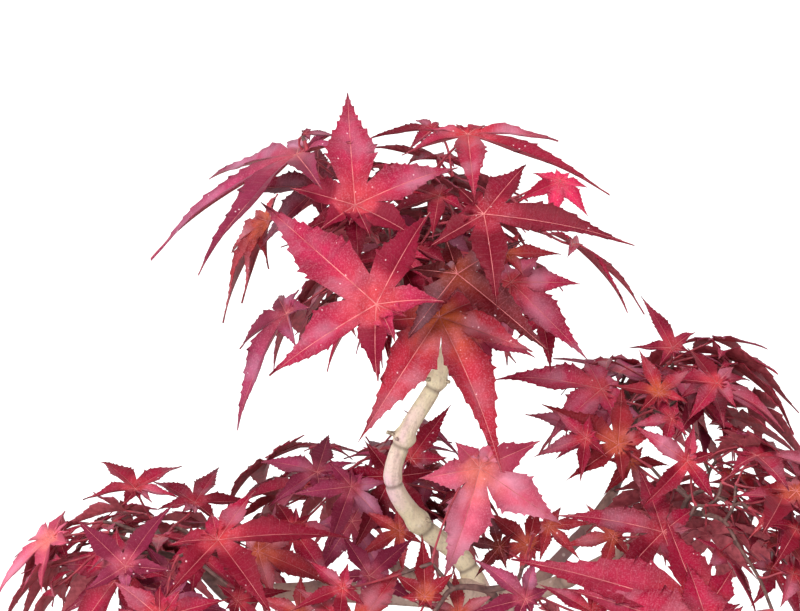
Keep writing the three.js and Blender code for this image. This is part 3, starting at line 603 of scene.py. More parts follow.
def end_tree(tree, geometry, finish):
    """Ends a tree: makes all instances real, sets the finish and gives the result out."""
    real = add_node(tree, "GeometryNodeRealizeInstances", "Geometry", {"Geometry": geometry})
    painted = add_node(tree, "GeometryNodeSetMaterial", "Geometry", {"Geometry": real, "Material": finish})
    feed(tree, tree.nodes.new("NodeGroupOutput").inputs["Geometry"], painted)
    return tree


def grown_piece(name, source, tree, **values):
    """Runs a tree on an object with values given by input name, and keeps the result as a plain mesh."""
    bpy.context.collection.objects.link(source)
    modifier = source.modifiers.new(tree.name, "NODES")
    modifier.node_group = tree
    for item in tree.interface.items_tree:
        if item.item_type == "SOCKET" and item.in_out == "INPUT" and item.name in values:
            modifier[item.identifier] = values[item.name]
    seen = source.evaluated_get(bpy.context.evaluated_depsgraph_get())
    mesh = bpy.data.meshes.new_from_object(seen)
    mesh.name = name
    source.modifiers.remove(modifier)
    bpy.data.objects.remove(source)
    return bpy.data.objects.new(name, mesh)


print("trees of Geometry Nodes so far:", len(bpy.data.node_groups))

# %% [markdown]
# The grains lie on the bed's upper face, outside the trunk's foot. Points are scattered there no nearer
# to each other than a set spacing, and each gets a stone with its own turn, size and shade. A stone is a
# ball of twenty faces, unevenly scaled, which is enough for a thing of two to four millimetres.

# %% Soil grains
TRUNK_FOOT, FOOT_CLEAR = np.array([4.0, 8.0]), 12.0
GRAIN_SPACING, GRAIN_LEAST, GRAIN_MOST = 2.3, (1.0, 0.9, 0.7), (2.0, 1.8, 1.4)
GRAIN_SEED, GRAIN_DENSITY = 5, 4e5


def grain_tree():
    """Scatters stones over a face, no nearer than the spacing, each with its own turn, size and shade."""
    tree, given = start_tree(
        "scatter_grains", Spacing="Float", Smallest="Vector", Largest="Vector", Seed="Int", Finish="Material")

    def chance(shift, output, inputs=None, **settings):
        seed = add_node(tree, "ShaderNodeMath", 0, {0: given["Seed"], 1: shift})
        return add_node(tree, "FunctionNodeRandomValue", output, {"Seed": seed, **(inputs or {})}, **settings)

    points = add_node(tree, "GeometryNodeDistributePointsOnFaces", "Points", {
        "Mesh": given["Geometry"], "Distance Min": given["Spacing"], "Density Max": GRAIN_DENSITY,
        "Seed": given["Seed"]}, distribute_method="POISSON")
    stone = add_node(tree, "GeometryNodeMeshIcoSphere", "Mesh", {"Radius": 1, "Subdivisions": 1})
    turn = chance(0, 0, {1: (2 * math.pi,) * 3}, data_type="FLOAT_VECTOR")
    size = chance(1, 0, {0: given["Smallest"], 1: given["Largest"]}, data_type="FLOAT_VECTOR")
    placed = add_node(tree, "GeometryNodeInstanceOnPoints", "Instances", {
        "Points": points, "Instance": stone, "Rotation": turn, "Scale": size})
    shaded = add_node(tree, "GeometryNodeStoreNamedAttribute", "Geometry", {
        "Geometry": placed, "Name": "shade", "Value": chance(2, 1)}, domain="INSTANCE")
    return end_tree(tree, shaded, given["Finish"])


top_points, top_faces = soil_top.reshape(-1, 3), ring_quads(SOIL_RINGS, SOIL_SIDES)
from_trunk = np.linalg.norm(top_points[top_faces].mean(1)[:, :2] - TRUNK_FOOT, axis=1)
top_mesh = mesh_from("soil_top", top_points, [top_faces[from_trunk > FOOT_CLEAR]])
grains = grown_piece(
    "soil_grains", bpy.data.objects.new("soil_top", top_mesh), grain_tree(), Spacing=GRAIN_SPACING * MM,
    Smallest=tuple(side * MM for side in GRAIN_LEAST), Largest=tuple(side * MM for side in GRAIN_MOST),
    Seed=GRAIN_SEED, Finish=soil_grain)
hand_over(grains, "soil")

# %% [markdown]
# The trunk and the boughs follow the same middle lines as in the CAD model: smooth curves through a
# few points, each with its radius. The curve is a centripetal Catmull-Rom spline, which passes through
# its points without looping. Blender's own curves would need handles fitted to match, so the few lines
# of arithmetic are written out.

# %% Smooth lines
CENTRIPETAL, TANGENT_STEP = 0.25, 1e-4


def smooth_line(points):
    """A curve through points: a function from shares of the way to places."""
    points = np.asarray(points, float)
    padded = np.vstack([2 * points[0] - points[1], points, 2 * points[-1] - points[-2]])

    def places(shares):
        way = np.clip(np.atleast_1d(shares).astype(float), 0, 1) * (len(points) - 1)
        low = np.minimum(way.astype(int), len(points) - 2)
        t = (way - low)[:, None]
        a, b, c, d = (padded[low + k] for k in range(4))
        ab, bc, cd = (np.sum((q - p) ** 2, axis=1, keepdims=True) ** CENTRIPETAL
                      for p, q in ((a, b), (b, c), (c, d)))
        leave = ((b - a) / ab - (c - a) / (ab + bc) + (c - b) / bc) * bc
        arrive = ((c - b) / bc - (d - b) / (bc + cd) + (d - c) / cd) * bc
        square, cube = 3 * (c - b) - 2 * leave - arrive, 2 * (b - c) + leave + arrive
        return b + leave * t + square * t ** 2 + cube * t ** 3

    return places


def unit(vectors):
    """Vectors of length one along the given ones."""
    return vectors / np.linalg.norm(vectors, axis=-1, keepdims=True)


def tangents(line, shares):
    """Directions of a line at shares of its way."""
    return unit(line(np.minimum(shares + TANGENT_STEP, 1)) - line(np.maximum(shares - TANGENT_STEP, 0)))


half_way = smooth_line([(0, 0, 0), (10, 0, 0), (10, 10, 0)])(0.25)[0]
print("a line round a corner bulges to", half_way.round(2).tolist())

# %% [markdown]
# The trunk's rows give a place and a radius. A bough's row gives the height at which it leaves the trunk,
# its tip, how far it is lifted and bowed on the way, and its radius at both ends.

# %% Lines of the trunk and boughs
TRUNK_LINE = np.array([
    (4, 8, GROUND, 14), (-3, 7, 78, 11.5), (-17, 5, 108, 9.6), (-20, 5, 138, 8.2), (-7, 8, 166, 6.9),
    (11, 10, 190, 5.5), (15, 9, 212, 3.7), (11, 9, 223, 2.2), (0, 3, 234, 2.5), (-6.5, -2, 246, 2.1),
    (-3.5, -3, 257, 2.15), (4, -2, 270, 2), (8, -2, 283, 1.6),
])
BOUGHS = {
    "bough_left": (214, (-46, 2, 216), 2, 9, 2.9, 2),
    "bough_right": (210, (58, 0, 234), -3, 6, 2.4, 1.3),
    "bough_right_back": (201, (50, 38, 234), -3, 4, 2.2, 1.3),
    "bough_back_left": (205, (-14, 38, 222), -2, -5, 2.2, 1.4),
    "bough_centre": (206, (17, -22, 222), -2, 3, 2, 1.3),
    "bough_low_left": (134, (-66, -16, 152), 5, 6, 4.4, 2),
    "bough_low_right": (178, (58, -16, 168), 4, -6, 3.8, 1.8),
    "bough_low_back": (158, (-16, 46, 168), 3, 5, 3.8, 1.8),
}
BOUGH_POINTS, LINE_MARKS = 6, 2000

trunk_line = smooth_line(TRUNK_LINE[:, :3])
trunk_marks = trunk_line(np.linspace(0, 1, LINE_MARKS))


def trunk_point(height):
    """The middle of the trunk at a height."""
    return np.stack([np.interp(height, trunk_marks[:, 2], trunk_marks[:, k]) for k in range(3)], -1)


def trunk_taper(shares):
    """The trunk's plain radius at shares of its way."""
    return np.interp(shares, np.linspace(0, 1, len(TRUNK_LINE)), TRUNK_LINE[:, 3])


def bough_line(name):
    """The middle line of a bough: from inside the trunk to its tip, lifted and bowed on the way."""
    leaves_at, tip, lift, bow = BOUGHS[name][:4]
    start, tip = trunk_point(leaves_at), np.array(tip, float)
    side = unit(np.array([start[1] - tip[1], tip[0] - start[0], 0]))
    share = np.linspace(0, 1, BOUGH_POINTS + 1)[:, None]
    points = start + (tip - start) * share + side * bow * np.sin(np.pi * share) * (1 - share)
    points[:, 2:] += lift * 4 * share * (1 - share)
    return smooth_line(points)


bough_lines = {name: bough_line(name) for name in BOUGHS}
print("trunk line of", len(TRUNK_LINE), "points and", len(BOUGHS), "bough lines")

# %% [markdown]
# Bark relief is shape here, not only shading. Each ring of a limb gets its radius from rules that are
# added together: five roots that swell the trunk's foot, slow lumps and flutes as old wood has, shallow
# cracks low down, and at every node of the young stem a raised ring with a fine groove under it, where
# leaves once stood. The cracks and grooves also fill the scar number that darkens the bark.

# %% Bark rules
ROOT_ANGLES = np.radians([15, 95, 165, 230, 305])
ROOT_SWELL, ROOT_RISE, ROOT_SHARPNESS, ROOT_LEAST = 13, 24, 14, 0.25
LUMP_TURNS, LUMP_LENGTHS, PHASES = (1, 2, 2, 3, 3, 4, 5), (7, 30), (0, 6.3)
CRACK_TOP, CRACK_FADE, CRACK_SEED, FURROWS, FURROW_SHARPNESS = 175.0, 80, 1.3, 5.5, 14
FURROW_WANDERS, FURROW_BREAKS = ((0.5, 11, 1), (0.3, 4.7, 2)), 6
NODE_HEIGHTS = [270.2, 256.4, 246.8, 234.6, 223.5, 212.0, 197.0, 181.0]
NODE_RISES = [0.75, 0.75, 0.15, 0.55, 0.35, 0.5, 0.4, 0.35]
NODE_HALF, GROOVE_BELOW, GROOVE_DEEP, GROOVE_HALF = 1.3, 2.1, 0.22, 0.45


def root_swell(angles, heights):
    """How far the roots swell the trunk's foot at angles and heights above the ground."""
    ridges = np.exp(ROOT_SHARPNESS * (np.cos(angles[..., None] - ROOT_ANGLES) - 1))
    fade = np.clip(1 - heights / ROOT_RISE, 0, 1) ** 2
    return ROOT_SWELL * fade * np.maximum(ROOT_LEAST, ridges.max(-1))


def lumps(angles, way, seed):
    """Slow seeded lumps round and along a limb, between about -1 and 1."""
    random = np.random.default_rng(seed)
    total = np.zeros(np.broadcast(angles, way).shape)
    for turns in LUMP_TURNS:
        length = random.uniform(*LUMP_LENGTHS)
        total += np.sin(turns * angles + random.choice([-1, 1]) * way / length + random.uniform(*PHASES))
    return 2 * total / len(LUMP_TURNS)


def cracks(angles, heights):
    """Furrows that wander up the old trunk: 1 in a furrow, 0 between furrows and on young wood."""
    wander = sum(far * np.sin(heights / length + turn * CRACK_SEED) for far, length, turn in FURROW_WANDERS)
    furrows = np.abs(np.sin(FURROWS * angles + wander)) ** FURROW_SHARPNESS
    broken = 0.5 + 0.5 * np.sin(heights / FURROW_BREAKS + 3 * np.sin(2 * angles))
    return furrows * broken * np.clip((CRACK_TOP - heights) / CRACK_FADE, 0, 1)


def node_rings(heights):
    """The raised rings at the young stem's nodes, and how dark their scars are."""
    away = heights[..., None] - np.array(NODE_HEIGHTS)
    rise = np.sum(np.array(NODE_RISES) * np.exp(-(away / NODE_HALF) ** 2), -1)
    groove = np.sum(np.exp(-((away + GROOVE_BELOW) / GROOVE_HALF) ** 2), -1)
    return rise - GROOVE_DEEP * groove, groove


print("the ring at the highest node rises", round(float(node_rings(np.array(NODE_HEIGHTS[0]))[0]), 2), "mm")

# %% [markdown]
# The trunk is one skin over many rings. Every ring stands square to the middle line, and is turned as
# little as possible against the one before, so that the skin doesn't twist. Sweeping a circle along a
# curve would be quicker, but then the bark rules couldn't move each point of a ring on its own.

# %% Trunk
TRUNK_RINGS, TRUNK_SIDES = 420, 72
YOUNG_FROM, YOUNG_OVER, OLD_LUMPS, YOUNG_LUMPS, LUMP_SEED = 195, 25, 0.055, 0.05, 3
FINE_LUMPS, FINE_TIMES, FINE_STRETCH, FINE_SEED, CRACK_DEPTH = 0.05, 5, 4, 8, 0.55
GROOVE_SCAR, GROOVE_SCARS_FROM, CRACK_SCAR = 0.75, 190, 0.6


def limb_rings(line, shares, sides, radius_at, flat_foot=False):
    """Rings of points round a line, as far from it as a rule says for each of them."""
    middles, ways = line(shares), tangents(line, shares)
    if flat_foot:
        ways[0] = (0, 0, 1)
    angles = ring_angles(sides)
    radii = np.broadcast_to(radius_at(shares[:, None], angles[None, :], middles), (len(shares), sides))
    across, rings = np.array([1.0, 0, 0]), []
    for middle, way, radius in zip(middles, ways, radii):
        across = unit(across - across.dot(way) * way)
        out = np.cos(angles)[:, None] * across + np.sin(angles)[:, None] * np.cross(way, across)
        rings.append(middle + radius[:, None] * out)
    return np.array(rings)


def with_ends(values):
    """Numbers for the points of a skin's rings, with nought for its two ends."""
    return np.concatenate([values, np.zeros(2)])


def trunk_radius(shares, angles, middles):
    """The trunk's radius by its taper and all the bark rules."""
    heights, taper = middles[:, 2:3] + 0 * angles, trunk_taper(shares)
    young = np.clip((heights - YOUNG_FROM) / YOUNG_OVER, 0, 1)
    lumpy = lumps(angles, heights, LUMP_SEED) * taper * (OLD_LUMPS * (1 - young) + YOUNG_LUMPS * young)
    fine = lumps(FINE_TIMES * angles, heights * FINE_STRETCH, FINE_SEED) * FINE_LUMPS
    relief = lumpy + fine + node_rings(heights)[0] - CRACK_DEPTH * cracks(angles, heights)
    return taper + root_swell(angles, heights - GROUND) + relief


trunk_shares = np.linspace(0, 1, TRUNK_RINGS)
trunk_skin = skin(limb_rings(trunk_line, trunk_shares, TRUNK_SIDES, trunk_radius, True))
heights = np.repeat(trunk_line(trunk_shares)[:, 2], TRUNK_SIDES)
angles = np.tile(ring_angles(TRUNK_SIDES), TRUNK_RINGS)
grooved = node_rings(heights)[1] * (heights > GROOVE_SCARS_FROM)
trunk_scar = with_ends(np.clip(GROOVE_SCAR * grooved + CRACK_SCAR * cracks(angles, heights), 0, 1))
print("trunk of", TRUNK_RINGS, "rings, scarred by", round(float(trunk_scar.mean()), 3), "on average")

# %% [markdown]
# Where a leaf or a side shoot fell, a stub of dead bud is left on the node, dark and torn. Each is a
# short tapering limb of its own, with coarse lumps, joined into the trunk's mesh. The largest one
# stands out to the left of the bare stem.

# %% Bud stubs
STUBS = [
    ((-4.4, -3.2, 256.6), (-3.6, -0.8, 1.6), 1.25, 0.4),
    ((-5.0, -4.3, 256.0), (-0.8, -1.9, 0.9), 0.9, 0.35),
    ((3.0, -3.2, 270.4), (-1.7, -1.6, 0.7), 0.95, 0.4),
    ((5.2, -2.6, 269.8), (2.0, -0.9, 0.5), 0.9, 0.35),
    ((1.2, 1.4, 235.2), (1.4, -1.9, 0.3), 0.8, 0.4),
    ((12.4, 7.6, 212.0), (-1.6, -2.2, 0.9), 1.5, 0.7),
]
STUB_RINGS, STUB_SIDES, STUB_SUNK, STUB_MIDDLE, STUB_SAG, STUB_TAPER = 14, 16, 0.3, 0.4, 0.3, 0.7
STUB_LUMPS, STUB_STRETCH, STUB_SEED, STUB_SHADES, SHADE_SEED = 0.22, 60, 20, (0.2, 1), 40


def stub(number, foot, reach, thick, thin):
    """The skin of a stub, and how dark it is at each of its points."""
    foot, reach = np.array(foot), np.array(reach)
    end = foot + reach + (0, 0, -STUB_SAG)
    line = smooth_line([foot - STUB_SUNK * reach, foot + STUB_MIDDLE * reach, end])

    def radius(shares, angles, middles):
        body = thick + (thin - thick) * shares ** STUB_TAPER
        return body * (1 + STUB_LUMPS * lumps(angles * 2, shares * STUB_STRETCH, STUB_SEED + number))

    made = skin(limb_rings(line, np.linspace(0, 1, STUB_RINGS), STUB_SIDES, radius))
    return made, np.random.default_rng(SHADE_SEED + number).uniform(*STUB_SHADES, len(made[0]))


stubs = [stub(number, *row) for number, row in enumerate(STUBS)]
skins, scars = zip((trunk_skin, trunk_scar), *stubs)
skin_piece("trunk_bark", skins, stem_bark, "trunk_bark", "trunk", scar=scars)

# %% [markdown]
# Boughs are the same kind of limb. Each starts inside the trunk with a wide collar, as grown wood does,
# and narrows to the twig that carries its leaves. Near the trunk its bark is still as pale as the stem.
# Every so often there is a low knot with a dark scar beside it.

# %% Boughs
BOUGH_RINGS, BOUGH_SIDES, COLLAR, COLLAR_REACH = 90, 28, 0.55, 7.0
PALE_START, PALE_REACH, PALE_MOST = 1.3, 24.0, 0.9
KNOT_APART, KNOT_AT, KNOT_HALF, KNOT_RISE = 17, 8, 1.1, 0.16
KNOT_SCAR_AT, KNOT_SCAR_HALF, KNOT_SCAR = 6.6, 0.5, 0.7
BOUGH_LUMPS, BOUGH_SEED, BOUGH_FINE, BOUGH_FINE_TIMES = 0.06, 60, 0.05, 4


def bough(number, name):
    """The skin of a bough, the scars beside its knots, and how pale it is near the trunk."""
    leaves_at, thick, thin = BOUGHS[name][0], *BOUGHS[name][4:]
    line, shares = bough_lines[name], np.linspace(0, 1, BOUGH_RINGS)
    length = np.linalg.norm(np.diff(line(shares), axis=0), axis=1).sum()
    trunk_here = np.interp(leaves_at, TRUNK_LINE[:, 2], TRUNK_LINE[:, 3])

    def radius(shares, angles, middles):
        way = shares * length
        collar = COLLAR * np.exp(-np.clip(way - trunk_here, 0, None) / COLLAR_REACH)
        knots = KNOT_RISE * np.exp(-((way % KNOT_APART - KNOT_AT) / KNOT_HALF) ** 2)
        body = (thick + (thin - thick) * shares) * (1 + collar + knots)
        fine = lumps(BOUGH_FINE_TIMES * angles, way * BOUGH_FINE_TIMES, number)
        return body * (1 + BOUGH_LUMPS * lumps(angles, way, BOUGH_SEED + number)) + BOUGH_FINE * fine

    way = np.repeat(shares * length, BOUGH_SIDES)
    scar = KNOT_SCAR * np.exp(-((way % KNOT_APART - KNOT_SCAR_AT) / KNOT_SCAR_HALF) ** 2)
    pale = np.clip(PALE_START - way / PALE_REACH, 0, PALE_MOST)
    return skin(limb_rings(line, shares, BOUGH_SIDES, radius)), with_ends(scar), with_ends(pale)


skins, scars, collars = zip(*(bough(number, name) for number, name in enumerate(BOUGHS)))
skin_piece("bough_wood", skins, bough_bark, "bough_bark", *BOUGHS, scar=scars, collar=collars)

# %% [markdown]
# Every leaf is first only a pose: where its heart is, which way its face looks, which way its middle
# lobe points, and how long that lobe is. Leaves grow in masses. A mass's row gives the limb that carries
# it, the middle and reach of its space, how many leaves the CAD model has there, and its seed. The large
# leaves at the front are listed one by one after the photograph, each with the tint it shows there. Their
# rows give the heart, the heading of the middle lobe seen from the front, the rise and turn of the face,
# the length, and the form: how far the lobes on each side have grown, how wide they spread and how broad
# they are.

# %% Leaves listed one by one
MASSES = {
    "leaves_apex": ("trunk", (-2, -4, 292), (64, 60, 48), 36, 11),
    "leaves_left": ("bough_left", (-62, -4, 226), (44, 54, 36), 22, 23),
    "leaves_back_left": ("bough_back_left", (-18, 42, 230), (44, 34, 36), 16, 37),
    "leaves_centre": ("bough_centre", (8, -34, 226), (36, 34, 36), 13, 41),
    "leaves_right": ("bough_right", (66, -16, 234), (40, 46, 38), 17, 53),
    "leaves_right_back": ("bough_right_back", (56, 36, 256), (42, 40, 34), 16, 61),
    "leaves_low_left": ("bough_low_left", (-66, -12, 166), (42, 50, 30), 18, 73),
    "leaves_low_right": ("bough_low_right", (64, -8, 178), (44, 52, 28), 18, 83),
    "leaves_low_back": ("bough_low_back", (-14, 47, 178), (52, 34, 30), 18, 101),
}
SHOWN = {
    "leaves_apex": [
        ((-15, -28, 315), 94, 38, -1, 36, (0.52, 0.87, 1.02, 1.1), "rose"),
        ((-15, -24, 314), 272, 38, 0, 15, (0.85, 1.25, 1.05, 1.25), "burgundy"),
        ((-10, -48, 295), 136, 29, -21, 44, (0.77, 0.66, 1.11, 0.95), "rose"),
        ((4, -40, 291), 280, 39, 23, 38, (0.71, 1.12, 0.85, 1), "flame"),
        ((8, -42, 301), 310, 41, -16, 29, (0.7, 0.81, 1.25, 0.95), "umber"),
        ((14, -38, 314), 341, 50, -9, 34, (0.69, 0.87, 1.11, 1), "burgundy"),
        ((11, -13, 330), 268, 72, 8, 32, (1.37, 0.69, 0.89, 0.75), "crimson"),
        ((-29, -10, 325), 209, 63, -67, 42, (1.28, 1.07, 0.81, 0.66), "mauve"),
        ((-37, 12, 307), 202, 22, -65, 32, (0.76, 0.82, 0.51, 0.55), "brick"),
        ((-32, 0, 286), 274, 36, -63, 30, (0.55, 0.82, 0.93, 0.85), "mauve"),
        ((34, 10, 317), 257, 35, 2, 12, (1.08, 1.13, 0.8, 1.2), "glow"),
        ((21, -18, 296), 308, 32, 8, 25, (0.78, 0.81, 0.77, 1.1), "rose"),
        ((12, -32, 286), 341, 37, 8, 15, (0.8, 0.79, 0.76, 1.3), "pink"),
        ((37, 8, 302), 240, 55, 84, 23, (1.45, 0.8, 0.93, 0.5), "crimson"),
        ((29, -5, 286), 275, 39, 4, 14, (0.66, 0.72, 0.83, 1.1), "crimson"),
        ((3, 5, 330), 184, 70, -5, 16, (0.84, 0.6, 0.93, 0.7), "burgundy"),
        ((-24, -5, 317), 150, 50, -30, 24, (1, 0.9, 1, 1), "plum"),
    ],
    "leaves_left": [
        ((-70, 10, 241), 102, 66, 8, 18, (0.84, 1.14, 1.09, 1), "crimson"),
        ((-56, 17, 236), 80, 64, 5, 18, (1, 1, 1, 1), "burgundy"),
        ((-47, -28, 237), 291, 56, -5, 26, (1.4, 0.88, 1.04, 1), "crimson"),
        ((-69, -25, 230), 134, 31, -13, 19, (0.7, 1.16, 1.18, 1), "mauve"),
        ((-39, -6, 229), 341, 32, 19, 22, (0.9, 0.67, 0.86, 1), "brick"),
        ((-60, -34, 220), 262, 34, -5, 30, (1, 1, 1, 1), "crimson"),
    ],
    "leaves_back_left": [
        ((-26, 35, 240), 131, 61, -12, 18, (1.01, 1.12, 1.07, 1.2), "mauve"),
        ((-7, 25, 241), 245, 12, 0, 22, (1, 1, 1, 1), "burgundy"),
        ((-17, 22, 239), 251, 20, 0, 18, (1, 1, 1, 1), "mauve"),
        ((-2, 28, 245), 56, 22, 3, 18, (0.5, 0.62, 0.87, 1), "crimson"),
    ],
    "leaves_centre": [
        ((1, -30, 224), 89, 32, 4, 16, (0.67, 0.68, 0.78, 1), "flame"),
        ((-12, -18, 226), 52, 39, 5, 16, (1, 1, 1.15, 1.1), "mauve"),
        ((-15, -42, 219), 80, 60, -8, 27, (1, 1, 1, 1), "flame"),
        ((14, -18, 252), 256, -3, 9, 29, (1.04, 0.58, 1.05, 1.35), "pink"),
        ((26, -8, 231), 133, 31, 7, 15, (1, 1, 0.95, 1), "brick"),
        ((24, -36, 225), 128, 37, 10, 16, (1, 0.81, 0.92, 1), "mauve"),
        ((31, -5, 235), 304, 38, 7, 11, (1.24, 1, 0.89, 1), "brick"),
    ],
    "leaves_right": [
        ((48, 0, 254), 144, 35, 12, 21, (0.88, 0.98, 1.05, 1), "brick"),
        ((63, -15, 253), 226, 18, 10, 16, (0.87, 1.13, 1.25, 1), "crimson"),
        ((64, -44, 224), 155, 47, 15, 45, (0.9, 0.69, 0.89, 1), "crimson"),
        ((57, -20, 237), 158, 47, 8, 25, (1, 1, 1, 1), "burgundy"),
        ((52, 8, 248), 289, 35, 2, 11, (1, 1.17, 1.02, 1.1), "brick"),
        ((65, -52, 220), 149, 45, 13, 35, (0.9, 0.7, 0.9, 1.35), "crimson"),
    ],
    "leaves_right_back": [
        ((45, 15, 265), 157, 58, 17, 26, (1, 0.55, 1, 1.25), "rose"),
        ((64, 30, 273), 107, 41, -3, 19, (0.68, 0.5, 1.04, 0.7), "rose"),
        ((73, 12, 267), 172, 57, 13, 18, (1, 1, 1, 1), "crimson"),
        ((61, 2, 260), 193, 40, 6, 11, (1, 1, 1, 1.1), "crimson"),
        ((43, 20, 254), 158, 42, 5, 17, (0.84, 1, 0.92, 1.3), "rose"),
    ],
}


def pose_leaf(hub, face, lead, length, form, tint=None, near=False):
    """A leaf's pose, with its middle lobe turned into the plane of its face."""
    ahead = unit(lead - lead.dot(face) * face)
    left, right, spread, breadth = form
    return {"hub": hub, "face": face, "ahead": ahead, "side": np.cross(face, ahead), "length": length,
            "sides": (left, right), "spread": spread, "breadth": breadth, "tint": tint, "near": near}


def shown_leaf(hub, heading, rise, turn, length, form, tint):
    """The pose of a listed leaf."""
    h, r, t = np.radians([heading, rise, turn])
    face = np.array([math.sin(t) * math.cos(r), -math.cos(t) * math.cos(r), math.sin(r)])
    lead = np.array([math.cos(h), 0, math.sin(h)])
    return pose_leaf(np.array(hub, float), face, lead, length, form, tint, True)


leaves = {name: [shown_leaf(*row) for row in SHOWN.get(name, [])] for name in MASSES}
print(sum(len(group) for group in leaves.values()), "leaves set by hand")

# %% [markdown]
# The other leaves come from the source's own rule. Hearts spiral over a mass's dome, a golden angle
# apart, faces look out and up, and middle lobes point out and a little down. The random numbers are the
# source's too, so the same seed offers the same leaves as in the CAD model.

# %% Offered leaves
GOLDEN_ANGLE, HEIGHT_STRIDE, LOWEST_LEAF = math.radians(137.508), 7, -0.3
FACE_OUT, FACE_UP, LEAD_DOWN, SIDE_GROWTH = 0.75, 0.75, 0.35, (0.8, 1.05)
FULL_WORD, SEED_STEP = 0xFFFFFFFF, 0x6D2B79F5


def seeded_numbers(seed):
    """The source's run of random numbers from 0 to 1."""
    state = seed
    while True:
        state = (state + SEED_STEP) & FULL_WORD
        mixed = ((state ^ (state >> 15)) * (state | 1)) & FULL_WORD
        mixed ^= (mixed + ((mixed ^ (mixed >> 7)) * (mixed | 61))) & FULL_WORD
        yield ((mixed ^ (mixed >> 14)) & FULL_WORD) / (FULL_WORD + 1)


def between(ends, share):
    """The number at a share of the way between two ends."""
    return ends[0] + (ends[1] - ends[0]) * share


def offered_leaves(centre, space, total, seed, sizes, shell):
    """Leaves that the rule offers to a mass, in turn."""
    numbers = seeded_numbers(seed)
    for i in range(total):
        height = 1 - (1 - LOWEST_LEAF) * ((i * HEIGHT_STRIDE) % total + 0.5) / total
        angle, flat = i * GOLDEN_ANGLE + next(numbers), math.sqrt(1 - height * height)
        out = np.array([flat * math.cos(angle), flat * math.sin(angle), height])
        hub = np.array(centre) + out * np.array(space) * between(shell, next(numbers))
        face = np.array([next(numbers) - 0.5, next(numbers) - 0.5, FACE_UP]) + FACE_OUT * out
        lead = np.array([out[0] + next(numbers) - 0.5, out[1] + next(numbers) - 0.5, -LEAD_DOWN])
        length = between(sizes, next(numbers))
        form = (between(SIDE_GROWTH, next(numbers)), between(SIDE_GROWTH, next(numbers)), 1, 1)
        yield pose_leaf(hub, unit(face), lead, length, form)


print("first random number of the top mass:", round(next(seeded_numbers(MASSES["leaves_apex"][4])), 4))

# %% [markdown]
# An offered leaf is kept only where it has room: inside its mass's space, clear of the limbs and of the
# leaves already there, not in front of the bare stem or of a listed leaf, and out of the gaps where
# sky shows through the crown. A few marks along its lobes stand for the leaf, which is far quicker than
# comparing whole blades.

# %% Marks of a leaf
MARK_LOBES = [(-120, 0.52), (-64, 0.86), (0, 1), (64, 0.86), (120, 0.52)]
MARK_SHARES, LEAF_DROOP, VIEW_SLOPE = (0.35, 0.7, 1), 0.17, 0.14
VIEW_MIDDLE = VIEW_TARGET[[0, 2]]


def leaf_marks(leaf):
    """Points that stand for a leaf's shape when leaves are spaced."""
    marks = [leaf["hub"]]
    for angle, reach in MARK_LOBES:
        grown = reach * (1 if angle == 0 else leaf["sides"][0 if angle > 0 else 1])
        turn = math.radians(angle * leaf["spread"])
        way = math.cos(turn) * leaf["ahead"] + math.sin(turn) * leaf["side"]
        for share in MARK_SHARES:
            r = share * grown
            marks.append(leaf["hub"] + leaf["length"] * (r * way - LEAF_DROOP * r * r * leaf["face"]))
    return np.array(marks)


def seen(marks):
    """Where marks are seen in the view, sideways and upwards."""
    flat = np.column_stack([marks[:, 0], marks[:, 2] + VIEW_SLOPE * marks[:, 1]])
    return VIEW_MIDDLE + (flat - VIEW_MIDDLE) * (VIEW_DISTANCE / (VIEW_DISTANCE + marks[:, 1:2]))


taken = {name: [leaf_marks(leaf) for leaf in group] for name, group in leaves.items()}
shown_marks = np.vstack([marks for group in taken.values() for marks in group])
shown_seen = seen(shown_marks)
print(len(shown_marks), "marks of leaves set by hand")

# %% [markdown]
# Each condition is a small question about the marks. The gaps of sky are upright boxes in the view, given
# sideways and upwards in millimetres at the stem.

# %% Room for a leaf
SPACE_SLACK, LIMB_GAP, LIMB_MARKS = 1.2, 3, 61
BARE_STEM, BARE_STEM_WIDTH, SHOWN_CLEARANCE = (210, 280), 7, 5
SKY_WINDOWS = [
    ((-98, -40), (249, 298)), ((-40, -8), (256, 272)), ((-40, -27), (293, 303)), ((18, 31), (257, 271)),
    ((20, 34), (241, 249)), ((35, 57), (276, 301)), ((42, 110), (286, 342)), ((34, 44), (236, 246)),
]

limb_shares = np.linspace(0, 1, LIMB_MARKS)
limb_places = np.vstack([line(limb_shares) for line in (trunk_line, *bough_lines.values())])
bough_radii = [np.full(LIMB_MARKS, row[4]) for row in BOUGHS.values()]
limb_radii = np.concatenate([trunk_taper(limb_shares), *bough_radii])


def hides_stem(marks):
    """Whether any mark lies in front of the bare upper stem."""
    height = marks[:, 2] + VIEW_SLOPE * marks[:, 1]
    stem = trunk_point(height)
    inside = (height >= BARE_STEM[0]) & (height <= BARE_STEM[1]) & (marks[:, 1] < stem[:, 1])
    return bool(np.any(inside & (np.abs(marks[:, 0] - stem[:, 0]) < BARE_STEM_WIDTH)))


def fills_sky(marks):
    """Whether any mark fills one of the windows of sky."""
    places = seen(marks)[:, None]
    low, high = np.array(SKY_WINDOWS)[..., 0], np.array(SKY_WINDOWS)[..., 1]
    return bool(np.any(np.all((places > low) & (places < high), axis=-1)))


def hides_shown(marks):
    """Whether any mark lies in front of a listed leaf."""
    apart = np.linalg.norm(seen(marks)[:, None] - shown_seen[None], axis=-1)
    return bool(np.any((apart < SHOWN_CLEARANCE) & (marks[:, None, 1] < shown_marks[None, :, 1])))


def clear_of(marks, others, gap):
    """Whether all marks keep a gap to those of other leaves."""
    return not others or np.sqrt(((marks[:, None] - np.vstack(others)[None]) ** 2).sum(-1).min()) >= gap


